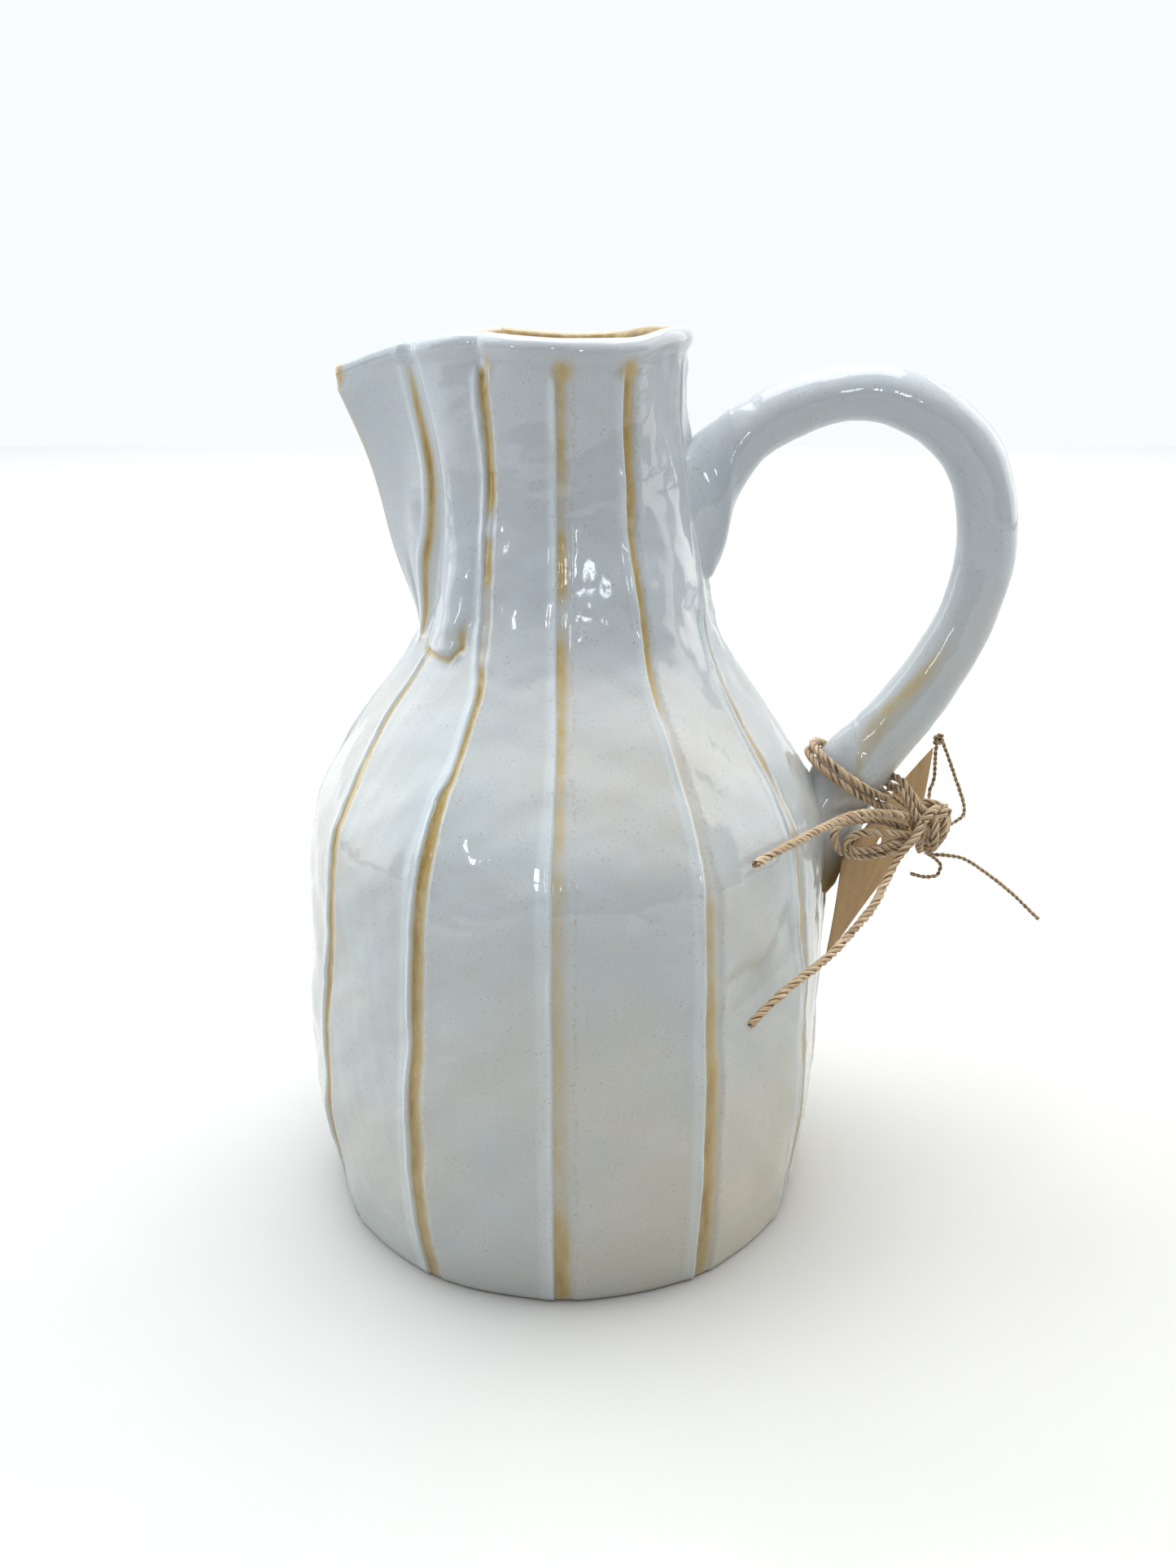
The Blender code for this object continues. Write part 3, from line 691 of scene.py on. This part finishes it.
def knot(material):
    """The tied lump: strands of the bow that pass over and round each other."""
    centre = np.array(KNOT_CENTRE)
    strands = Strands()
    turns = np.linspace(0.0, 2 * math.pi, 40)[:, None]
    routes = [smooth_route(points, TWINE_SPACING) for points in KNOT_STRANDS]
    for first, second, shift, long, short in KNOT_LOOPS:
        first = unit(first)
        second = unit(np.array(second) - first * np.dot(first, second))
        loop = (centre + np.array(shift) + first * (np.cos(turns) * long)
                + second * (np.sin(turns) * short) + np.cross(first, second) * (turns - math.pi) * 0.35)
        routes.append(smooth_route(loop, TWINE_SPACING))
    for route in routes:
        strands.rope(route, TWINE * 0.96, 3, TWINE_LAY, around=10, start_turn=RANDOM.uniform(0, 6))
        strands.fuzz(route, TWINE, 0.6, 3.2)
    for points in STRING_TUCKS:
        strands.rope(smooth_route(points, STRING_SPACING), STRING, 2, STRING_LAY, around=8)
    piece = strands.build("bow_knot", material)
    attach(piece, "pitcher")
    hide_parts("twine_knot")
    return piece


# ----------------------------------------------------------------- paper tag
def paper_tag(material):
    """Card with a punched hole and a slight curl; its middle is the hole."""
    left = -TAG_HOLE_ALONG * TAG_LENGTH
    right = left + TAG_LENGTH
    top = TAG_HOLE_DOWN * TAG_HEIGHT
    bottom = top - TAG_HEIGHT
    corners = [math.atan2(y, x) % (2 * math.pi) for x in (left, right) for y in (bottom, top)]
    angles = sorted(set(np.linspace(0, 2 * math.pi, 72, endpoint=False).tolist() + corners))
    outer = []
    for angle in angles:
        c, s = math.cos(angle), math.sin(angle)
        reach_x = (right if c > 0 else left) / c if abs(c) > 1e-9 else math.inf
        reach_y = (top if s > 0 else bottom) / s if abs(s) > 1e-9 else math.inf
        outer.append(min(reach_x, reach_y))
    shares = np.array([0.0, 0.02, 0.1, 0.25, 0.45, 0.65, 0.85, 0.985, 1.0])
    rings = []
    for side in (1, -1):
        for share in shares if side > 0 else shares[::-1]:
            inset = 0.35 if share in (0.0, 1.0) else 1.0     # softly rounded cut edges
            ring = []
            for angle, reach in zip(angles, outer):
                distance = TAG_HOLE_RADIUS + (reach - TAG_HOLE_RADIUS) * share
                x, y = distance * math.cos(angle), distance * math.sin(angle)
                curl = 0.9 * ((x - 6.0) / 35.0) ** 2 - 0.35 * (y / 18.0) ** 2
                z = side * TAG_THICKNESS / 2 * inset + curl * min(1.0, distance / 12.0)
                ring.append(TAG_HOLE + TAG_ALONG * x + TAG_UP * y + TAG_FACE * z)
            rings.append(ring)
    points = np.array(rings).reshape(-1, 3)
    columns = len(angles)
    faces = grid_faces(len(rings), columns)
    last = (len(rings) - 1) * columns
    for c in range(columns):
        d = (c + 1) % columns
        faces.append((last + c, last + d, d, c))
    piece = mesh_object("kraft_tag", points, faces, material)
    piece.data.set_sharp_from_angle(angle=math.radians(50))
    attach(piece, "tag")
    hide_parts("paper_tag")
    return piece


# ----------------------------------------------------------------- vessel
def soft_profile():
    """The profile with its bends softened, as heights and radii."""
    step = 0.5
    heights = np.arange(0.0, RIM + step, step)
    window = np.arange(-12.0, 12.0 + step, step)
    weights = np.exp(-0.5 * (window / PROFILE_BLUR) ** 2)
    weights /= weights.sum()
    near_foot = ramp(0.0, 14.0, heights)
    sharp = eased(PROFILE, heights)
    soft = np.array([(eased(PROFILE, height + window) * weights).sum() for height in heights])
    return heights, sharp + (soft - sharp) * near_foot


def radius_at(height):
    return np.interp(height, *SOFT_PROFILE)


def panel_factor(share, height):
    """Radius of a panel against its edge; share runs 0 to 1 across it."""
    half = math.radians(STEP / 2)
    off = (share - 0.5) * 2 * half
    roundness = eased(PANEL_ROUNDNESS, height)
    return roundness + (1 - roundness) * math.cos(half) / np.cos(off)


def hidden_lines():
    """Gentle wander, ochre and width for the scored lines at the back."""
    for line in range(PANELS):
        if line in LINE_DRIFT:
            continue
        steps = [0, 40, 80, 118, 150, 170, 205, 242]
        drift = RANDOM.normal(0.0, 1.1, len(steps))
        ochre = RANDOM.uniform(0.35, 1.0, len(steps))
        if line == 0:
            drift = drift * 0.3
        if line in (5, 6):
            steps[-2:] = [178, 242]
            drift[-3:] = 0.0
            ochre[-3:] = 0.0
        LINE_DRIFT[line] = list(zip(steps, drift))
        LINE_OCHRE[line] = list(zip(steps, ochre))[:-1] + [(244, 0.0)]
        LINE_WIDTH[line] = [(0, RANDOM.uniform(0.7, 1.0)), (250, 0.8)]


def line_angle(line, height):
    """Angle of a scored line; the count goes on round, past either end."""
    return STEP * line + eased(LINE_DRIFT[line % PANELS], height)


FINE_OFFSETS = [
    -6.4, -5.4, -4.6, -4.0, -3.5, -3.1, -2.75, -2.45, -2.2, -2.0, -1.8, -1.55, -1.2,
    -0.8, -0.3, 0.2, 0.7, 1.1, 1.5, 1.85, 2.2, 2.6, 3.1, 3.7, 4.5,
]


def vessel_columns():
    """Each column's scored line and its share of the way to the next line."""
    columns = []
    for line in range(PANELS):
        shares = [offset / STEP for offset in FINE_OFFSETS]
        fillers = 26 if line in (4, 5, 6, 7) else 9
        gap_start, gap_end = FINE_OFFSETS[-1] / STEP, 1 + FINE_OFFSETS[0] / STEP
        shares += np.linspace(gap_start, gap_end, fillers + 2)[1:-1].tolist()
        columns += [(line, share) for share in shares]
    return columns


def from_tip(angle):
    """Degrees round from the spout's tip, which is at 180."""
    return np.abs(angle % 360.0 - 180.0)


def spout_growth(height):
    """0 at the spout's root and 1 at the height of its tip."""
    return np.maximum(0.0, (height - SPOUT_LOW) / (RIM - SPOUT_DROP - SPOUT_LOW))


def spout_radius(away, height, round_radius):
    """Radius of the spout's outside; away is degrees from the tip."""
    grow = spout_growth(height)
    fold, edge, lobe = (eased(t, height) for t in (FOLD_ANGLE, VALLEY_EDGE, LOBE_ANGLE))
    tip_radius = round_radius + SPOUT_REACH * grow
    fold_radius = round_radius + SPOUT_REACH * grow * eased(SPOUT_SHARE, fold)
    turn = np.radians(np.minimum(away, fold))
    fold_x = fold_radius * np.cos(np.radians(fold))
    fold_y = fold_radius * np.sin(np.radians(fold))
    flank = fold_y * tip_radius / (fold_y * np.cos(turn) + (tip_radius - fold_x) * np.sin(turn))
    beyond = round_radius + SPOUT_REACH * grow * eased(SPOUT_SHARE, away)
    radius = np.where(away < fold, flank, beyond)
    middle = fold + 0.5 * (edge - fold)
    radius = radius - eased(VALLEY_DEPTH, height) * hump(away, middle, (edge - fold) * 0.42)
    radius = radius + eased(LOBE_HEIGHT, height) * hump(away, lobe, 8.5)
    radius = radius - FLANK_DIP * hump(away, fold * 0.5, fold * 0.3) * hump(height, 215.0, 22.0)
    radius = radius + FLANK_SWELL * ramp(26.0, 12.0, away) * hump(height, 192.0, 16.0)
    return radius + eased(FOLD_RIDGE, height) * hump(away, fold - 0.6, 1.5)


def vessel_outside(angle, height, share, wobbles):
    """Outer surface and its glaze masks, for grids of angles and heights."""
    edge_radius = radius_at(height)
    radius = edge_radius * panel_factor(share, height)
    away = from_tip(angle)
    in_spout = away < SPOUT_EDGE
    folded = spout_radius(away, height, edge_radius * 0.985)
    blend = ramp(SPOUT_EDGE, SPOUT_EDGE - 8.0, away) * ramp(*SPOUT_BLEND, height)
    radius = radius * (1 - blend) + folded * blend

    # Scored lines: a crisp raised lip on the left, then a sunk ochre floor.
    masks = {key: np.zeros_like(radius) for key in ("ochre", "pool", "dots")}

    def mark(key, amount):
        masks[key] = np.maximum(masks[key], amount)

    below_rim = rim_height(angle) - height
    for line in range(PANELS):
        centre = line_angle(line, height)
        turn = (angle - centre + 180.0) % 360.0 - 180.0
        side = radius * np.radians(turn)
        near = np.abs(side) < LINE_REACH
        strength = ramp(*LINE_TOP, below_rim) * ramp(-2.0, 3.0, height)
        if line in SPOUT_LINES:
            strength = strength * ramp(172.0, 166.0, height)
        width = eased(GROOVE_HALF, height) * eased(LINE_WIDTH[line], height)
        ochre = eased(LINE_OCHRE[line], height)
        deep = 0.45 + 0.55 * ochre
        floor = ramp(-width - 0.45, -width + 0.15, side) * ramp(width + 0.9, width - 0.5, side)
        ridge = hump(side, -width - 0.75, 0.62)
        thick_strip = 1.1 * eased(GROOVE_HALF, height) + 0.4
        band = (ramp(-width - thick_strip - 1.4, -width - thick_strip, side)
                * ramp(-width + 0.2, -width - 0.8, side))
        soft = hump(side, width + 1.7, 1.1)
        lip_share = 0.55 + 0.45 * wobbles["ridge"](line, height)
        change = (-GROOVE_DEPTH * deep * floor + RIDGE_HEIGHT * lip_share * ridge
                  + BAND_HEIGHT * band + SOFT_EDGE_HEIGHT * soft)
        radius = radius + np.where(near, change * strength, 0.0)
        tint = ramp(-width - 0.35, -width + 0.3, side) * ramp(width + 1.2, -width * 0.3, side)
        dotted = hump(side, width + 1.0 + 0.3 * np.sin(height * 0.31 + line), 0.42)
        for key, amount in (("ochre", tint * ochre), ("pool", band * 0.9 + ridge * 0.5), ("dots", dotted)):
            mark(key, np.where(near, amount * strength, 0.0))

    # Ochre breaks through in the valley and on the tip's edge, and lies along the crease under the lobe;
    # the nose's lower side gets a darker ochre-coloured patch.
    fold, valley_edge = eased(FOLD_ANGLE, height), eased(VALLEY_EDGE, height)
    beside_fold = hump(away, fold + 1.2, 0.9)
    spread = ramp(fold + 0.2, fold + 1.4, away) * ramp(valley_edge + 1.5, fold + 2.0, away)
    valley = (0.95 * beside_fold + 0.16 * spread) * eased(VALLEY_OCHRE, height)
    tip = hump(away, 0.0, 1.0) * ramp(172.0, 180.0, height) * 0.35
    crease_height = 168.4 + 2.2 * ramp(28.0, 20.0, away) + 3.5 * ramp(44.0, 50.0, away)
    crease = hump(height, crease_height, 0.8) * ramp(17.0, 23.0, away) * ramp(53.0, 48.0, away)
    nose = hump(away, 49.0, 1.8) * hump(height, 174.0, 4.0)
    smear = lip_smear(angle, below_rim)
    for amount in (valley, tip, crease * 0.8, nose * 0.6, smear):
        mark("ochre", amount)
    mark("pool", hump(away, fold - 0.8, 1.3) * ramp(170.0, 176.0, height) * 0.8)
    pinch_height = ramp(170.0, 174.0, height) * ramp(196.0, 184.0, height)
    pinch = hump(away, 7.0 + 0.12 * (height - 180.0), 1.5) * pinch_height
    mark("dots", pinch * 0.8)
    radius = radius - CREASE_DEPTH * ((crease + nose) * in_spout + pinch)

    # The foot is a little narrower at the right, below the handle.
    from_right = 180.0 - from_tip(angle + 10.0)
    return radius - FOOT_NARROWING * hump(from_right, 0.0, 26.0) * ramp(95.0, 50.0, height), masks


def lip_smear(angle, below_rim):
    """Ochre that gathers under the lip where the front lines start."""
    smear = np.zeros(np.broadcast_shapes(np.shape(angle), np.shape(below_rim)))
    for centre, half, amount in ((269.5, 5.0, 0.6), (299.0, 5.0, 0.6), (236.0, 3.0, 0.4)):
        smear = np.maximum(smear, amount * hump(angle, centre, half) * hump(below_rim, 7.5, 3.0))
    return smear


def rim_height(angle):
    """The thrown rim is uneven, and falls to the spout's tip."""
    dips = [(0, 0), (40, -0.5), (60, -2), (85, -2.5), (125, -1), (180, 0),
            (215, 0), (240, -1), (275, -2), (300, -2), (330, 0), (360, 0)]
    return RIM + eased(dips, angle % 360.0) - SPOUT_DROP * eased(SPOUT_SHARE, from_tip(angle))


LIP_BAND = 7.0                 # height that the rolled lip takes up


def vessel_rows():
    """Nominal heights of the outer wall's rows, closer at the spout's root."""
    rows = [1.0, 2.2]
    while rows[-1] < RIM - LIP_BAND:
        z = rows[-1]
        rows.append(z + (0.9 if 160 < z < 182 else 1.3 if z > 182 else 1.9))
    return np.array(rows)


def outward_wobble(points, wobbles):
    return (0.55 * wobbles["large"](points) + 0.28 * wobbles["middle"](points)
            + 0.08 * wobbles["small"](points))


LIP_ROLL = [                   # below the rim, out from the wall's face
    (5.8, 0.25), (5.0, 0.75), (4.1, 1.1), (3.2, 1.25), (2.2, 1.15), (1.2, 0.7), (0.5, 0.0),
    (0.1, -1.0), (0.0, -2.0), (0.3, -3.1), (1.1, -4.1), (2.4, -4.7), (4.4, -4.75), (7.0, -4.3), (9.5, -4.0),
]
INSIDE_FLOOR = 6.0
RIM_LIFT = (150.0, 236.0)      # rows take up the rim's unevenness between these heights


def vessel(material):
    """One glazed shell: outside, rolled lip, inside and underside."""
    hidden_lines()
    columns = vessel_columns()
    lines = np.array([line for line, _ in columns])
    shares = np.array([share for _, share in columns])
    share_in_panel = shares % 1.0
    wobbles = {"large": Wobble(70.0), "middle": Wobble(24.0), "small": Wobble(7.0)}
    ridge_wave = Wobble(26.0)

    def ridge(line, height):
        flat = np.stack([height, np.full_like(height, line * 83.0), np.zeros_like(height)], axis=-1)
        return np.clip(ridge_wave(flat), -1.0, 1.3)

    wobbles["ridge"] = ridge

    def angles_at(height):
        angle = np.empty((len(height), len(columns)))
        for line in range(PANELS):
            pick = lines == line
            before, here, after = (line_angle(line + k, height)[:, None] for k in (-1, 0, 1))
            share = shares[pick][None, :]
            angle[:, pick] = here + np.where(share < 0, here - before, after - here) * share
        return angle

    nominal = vessel_rows()
    angle = angles_at(nominal)
    lift = (rim_height(angle) - RIM) * ramp(*RIM_LIFT, nominal)[:, None]
    height = nominal[:, None] + lift
    share = np.broadcast_to(share_in_panel, height.shape)
    radius, masks = vessel_outside(angle, height, share, wobbles)

    def place(radius, angle, height):
        turn = np.radians(angle)
        return np.stack([radius * np.cos(turn), radius * np.sin(turn), height], axis=-1)

    def ruffle(points, radius, amount=1.0):
        fade = ramp(0.0, 12.0, points[..., 2])
        front = np.degrees(np.abs(np.arctan2(points[..., 1], -points[..., 0])))
        calm = 1 - ramp(45.0, 20.0, front) * ramp(150.0, 170.0, points[..., 2])
        return radius + outward_wobble(points, wobbles) * amount * (0.35 + 0.65 * fade) * calm

    outside = place(ruffle(place(radius, angle, height), radius), angle, height)

    # Rolled lip, slimmer towards the spout's tip, with ochre on its inner edge.
    top_angle = angle[-1]
    top = rim_height(top_angle)
    away = from_tip(top_angle)
    tipness = eased(SPOUT_SHARE, away)
    lip_rows, lip_ochre = [], []
    for down, swell in LIP_ROLL:
        at = top - down * (1 - 0.35 * tipness)
        thinner = 1 - 0.75 * tipness if swell > 0 else 1 + 1.15 * tipness
        rim_radius = radius[-1] + swell * thinner
        ring = place(rim_radius, top_angle, at)
        lip_rows.append(place(ruffle(ring, rim_radius, 0.8), top_angle, at))
        inner_edge = ramp(-2.6, -4.2, np.full_like(top, swell)) * 0.95
        tip_edge = 0.8 * hump(away, 0.0, 1.6) * (swell > -3)
        smear = lip_smear(top_angle, down) * (swell > 0.2)
        lip_ochre.append(np.maximum.reduce([inner_edge, tip_edge, smear]))

    # Inside: a plain wall that follows the outside, down to the floor.
    inner_nominal = np.concatenate([np.linspace(238.0, 172.0, 16), np.linspace(166.0, 9.0, 22)])
    inner_angle = np.broadcast_to(top_angle, (len(inner_nominal), len(columns)))
    inner_height = inner_nominal[:, None] + (top - RIM) * ramp(*RIM_LIFT, inner_nominal)[:, None]
    slope = (radius_at(inner_height + 2) - radius_at(inner_height - 2)) / 4.0
    thick = (NECK_WALL + (WALL - NECK_WALL) * ramp(176.0, 166.0, inner_height)) * np.hypot(1.0, slope)
    flat = panel_factor(np.broadcast_to(share_in_panel, inner_height.shape), inner_height)
    spout_share = np.minimum(spout_growth(inner_height), 1.0) * tipness
    inner_radius = radius_at(inner_height) * flat + (SPOUT_REACH - SPOUT_EXTRA_WALL) * spout_share - thick
    inner = place(ruffle(place(inner_radius, inner_angle, inner_height), inner_radius, 0.6),
                  inner_angle, inner_height)
    streak = 0.5 + 0.5 * wobbles["middle"](place(30.0, inner_angle, inner_height * 0.2))
    inner_ochre = 0.9 * ramp(196.0, 242.0, inner_height) * (0.55 + 0.45 * streak) + 0.10

    # Floor inside, and the underside with its narrow bevel.
    def discs(ring, shares_and_heights):
        """Rings that shrink from one towards the middle."""
        return np.array([np.column_stack([ring[:, :2] * share, np.full(len(ring), at)])
                         for share, at in shares_and_heights])

    floor_rows = discs(inner[-1], ((0.97, 7.2), (0.9, 6.4), (0.6, INSIDE_FLOOR), (0.25, INSIDE_FLOOR)))
    foot_rows = discs(outside[0], ((0.25, 0.0), (0.6, 0.0), (0.9, 0.0), (0.972, 0.0), (0.986, 0.12),
                                   (0.996, 0.5)))

    rows = np.concatenate([foot_rows, outside, lip_rows, inner, floor_rows])
    layers = {key: np.zeros(rows.shape[:2]) for key in ("ochre", "pool", "dots", "clay")}
    wall_start = len(foot_rows)
    lip_start = wall_start + len(outside)
    inside_start = lip_start + len(lip_rows)
    for key, mask in masks.items():
        layers[key][wall_start:lip_start] = mask
    layers["ochre"][lip_start:inside_start] = lip_ochre
    layers["ochre"][inside_start:inside_start + len(inner)] = inner_ochre
    layers["clay"][:wall_start - 1] = 1.0
    layers["clay"][wall_start - 1] = 0.6
    centres = {"clay": (1.0, 0.0)}     # at the middle of the underside, and of the floor inside
    attributes = {key: np.append(layer, centres.get(key, (0.0, 0.0))) for key, layer in layers.items()}

    count = len(columns)
    points = np.concatenate([rows.reshape(-1, 3), [[0, 0, 0], [0, 0, INSIDE_FLOOR]]])
    faces = grid_faces(len(rows), count)
    total = len(rows) * count
    faces += cap_fan(list(range(count)), total, flip=True)
    faces += cap_fan(list(range(total - count, total)), total + 1)

    piece = mesh_object("glazed_vessel", points, faces, material, **attributes)
    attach(piece, "pitcher")
    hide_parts("base_disc", "body_wall", "neck", "spout")
    return piece


# ----------------------------------------------------------------- handle
def handle(material):
    """Pulled handle that flares into the wall at both ends."""
    stations = smooth_rows(HANDLE, 7)
    around = 72
    turns = np.arange(around) * 2 * math.pi / around

    def ring(x, z, tall, wide, pitch):
        turn = math.radians(pitch)
        across = np.array((-math.sin(turn), 0.0, math.cos(turn)))
        return (np.array((x, 0.0, z)) + across * (tall * np.cos(turns))[:, None]
                + np.array((0.0, 1.0, 0.0)) * (wide * np.sin(turns))[:, None])

    def seat(station, share, grow_tall, grow_wide, sink):
        """A ring on the way from the handle's end, at 1, into the wall, at 0."""
        x, z, tall, wide, pitch = station
        open_out = 1 - share
        points = ring(x, z - sink * open_out, tall + grow_tall * open_out,
                      wide + grow_wide * open_out ** 2, pitch)
        wall = radius_at(points[:, 2]) * 0.995
        wall_x = np.sqrt(np.maximum(wall ** 2 - points[:, 1] ** 2, 1.0)) - 2.2
        points[:, 0] = wall_x * (1 - share) + x * share
        return points

    shares = np.array([0.0, 0.16, 0.3, 0.42, 0.54, 0.68, 0.84])
    rings = [seat(stations[0], share, -1.0, 4.6, 6.0) for share in shares]
    rings += [ring(*station) for station in stations]
    rings += [seat(stations[-1], share, -5.5, 3.6, 12.0) for share in shares[::-1]]
    rings = np.array(rings)
    middle = rings.mean(axis=1, keepdims=True)
    outward = rings - middle
    outward /= np.linalg.norm(outward, axis=2, keepdims=True)
    uneven = 0.16 * Wobble(22.0)(rings) + 0.05 * Wobble(7.0)(rings)
    rings = rings + outward * uneven[..., None]

    # Ochre breaks: streaks inside the lower bend and along the foot's rim; the foot itself gets an
    # ochre-brown patch.
    height = rings[..., 2]
    inward = np.cos(turns)[None, :]
    index = np.linspace(0.0, 1.0, len(rings))[:, None]
    streaks = 0.5 + 0.5 * Wobble(9.0)(rings * np.array((0.35, 1.6, 0.25)))
    lower = ramp(0.60, 0.72, index) * ramp(0.92, 0.84, index)
    ochre = lower * hump(inward, -0.45, 0.33) * (0.12 + 0.4 * streaks)
    foot = ramp(116.0, 96.0, height) * ramp(0.84, 0.9, index)
    ochre = np.maximum(ochre, foot * (0.4 + 0.55 * streaks))
    ochre = np.maximum(ochre, 0.35 * ramp(0.8, 0.86, index) * hump(inward, 0.0, 0.35) * streaks)
    count = len(rings) * around
    faces = grid_faces(len(rings), around)
    faces += cap_fan(list(range(around)), count, flip=True)
    faces += cap_fan(list(range(count - around, count)), count + 1)
    points = np.concatenate([rings.reshape(-1, 3), rings[[0, -1]].mean(axis=1)])
    pool = ramp(0.10, 0.02, index) * np.ones_like(height)
    blank = np.zeros(count + 2)
    piece = mesh_object("pulled_handle", points, faces, material, ochre=np.append(ochre, (0, 0)),
                        pool=np.append(pool, (0, 0)), dots=blank, clay=blank)
    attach(piece, "pitcher")
    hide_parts("handle", "handle_upper_joint", "handle_lower_joint")
    return piece


# ----------------------------------------------------------------- surroundings
FLOOR_SIDE = 4.0               # metres, as are the lamps' places and sizes
LIT_POINT = (0.0, 0.0, 0.13)
ROOM_FRONT, ROOM_BACK, ROOM_TOP, ROOM_SEEN = 0.0, 1.0, 1.4, 1.0
ROOM_COLOUR = (0.95, 0.975, 1.0, 1.0)


def floor():
    bpy.ops.mesh.primitive_plane_add(size=FLOOR_SIDE, location=(0.0, 0.0, -0.0002))
    plane = bpy.context.object
    plane.name = "floor"
    plane.data.materials.append(floor_material())


def area_light(name, place, size, power, colour):
    data = bpy.data.lights.new(name, "AREA")
    data.shape = "RECTANGLE"
    data.size, data.size_y = size
    data.energy = power
    data.color = colour
    lamp = bpy.data.objects.new(name, data)
    lamp.location = place
    lamp.visible_camera = False
    aim = Vector(LIT_POINT) - Vector(place)
    lamp.rotation_euler = aim.to_track_quat("-Z", "Y").to_euler()
    bpy.context.collection.objects.link(lamp)


def studio_world():
    """Pale backdrop all round; its light comes from above and behind."""
    world = bpy.data.worlds.new("studio")
    world.use_nodes = True
    tree = world.node_tree
    background = tree.nodes["Background"]
    background.inputs["Color"].default_value = ROOM_COLOUR

    def map_range(value, low, high, to_low, to_high, kind):
        node = tree.nodes.new("ShaderNodeMapRange")
        node.interpolation_type = kind
        tree.links.new(value, node.inputs["Value"])
        node.inputs["From Min"].default_value = low
        node.inputs["From Max"].default_value = high
        if isinstance(to_low, float):
            node.inputs["To Min"].default_value = to_low
        else:
            tree.links.new(to_low, node.inputs["To Min"])
        node.inputs["To Max"].default_value = to_high
        return node.outputs["Result"]

    split = tree.nodes.new("ShaderNodeSeparateXYZ")
    tree.links.new(tree.nodes.new("ShaderNodeTexCoord").outputs["Generated"], split.inputs[0])
    sweep = map_range(split.outputs["Y"], -0.1, 0.75, ROOM_FRONT, ROOM_BACK, "SMOOTHSTEP")
    climb = map_range(split.outputs["Z"], 0.4, 0.95, sweep, ROOM_TOP, "SMOOTHSTEP")
    is_seen = tree.nodes.new("ShaderNodeLightPath").outputs["Is Camera Ray"]
    strength = map_range(is_seen, 0.0, 1.0, climb, ROOM_SEEN, "LINEAR")
    tree.links.new(strength, background.inputs["Strength"])
    bpy.context.scene.world = world


def lights():
    studio_world()
    area_light("ceiling", (0.0, 0.2, 1.5), (1.4, 1.2), 23.0, (0.95, 0.98, 1.0))
    area_light("left_window", (-1.3, 0.3, 0.8), (1.4, 1.6), 14.0, (0.89, 0.96, 1.0))
    area_light("right_fill", (1.5, 0.5, 0.75), (1.5, 1.5), 14.0, (1.0, 0.96, 0.90))
    area_light("above_front", (0.1, -0.35, 1.3), (0.22, 0.22), 0.7, (0.97, 0.98, 1.0))
    for name, place in (("window_left", (-1.0, -1.1, 0.62)), ("window_middle", (-0.18, -1.5, 0.52)),
                        ("window_right", (0.42, -1.45, 0.60))):
        area_light(name, place, (0.07, 0.2), 0.8, (0.86, 0.94, 1.0))


make_camera()
twine_fibre = fibre_material("jute_twine", (0.72, 0.55, 0.35), (0.33, 0.20, 0.095), (0.08, 0.04, 0.015))
string_fibre = fibre_material("jute_string", (0.60, 0.44, 0.25), (0.32, 0.20, 0.095), (0.09, 0.045, 0.015))
kraft = kraft_material()
glaze = glaze_material("white_glaze")

bow_knot = knot(twine_fibre)
kraft_tag = paper_tag(kraft)
cord("bow_wrap", "twine_wrap", wrap_route(), TWINE, twine_fibre)
cord("bow_loop", "twine_bow", BOW_ROUTE, TWINE, twine_fibre)
cord("upper_tail", "twine_tail_upper", UPPER_TAIL_ROUTE, TWINE, twine_fibre,
     frays=["last"])
cord("lower_tail", "twine_tail_lower", LOWER_TAIL_ROUTE, TWINE, twine_fibre,
     frays=["last"])
cord("string_stem", "tag_string_stem", STEM_ROUTE, STRING, string_fibre,
     hitch=(107, 4, 137))
cord("string_ends", "tag_string_ends", ENDS_ROUTE, STRING, string_fibre,
     frays=["first", "last"])
cord("string_loop", "tag_string_loop", tag_string_route(), STRING, string_fibre)
SOFT_PROFILE = soft_profile()
vessel(glaze)
handle(glaze)
floor()
lights()
bpy.context.scene.view_settings.view_transform = "Standard"
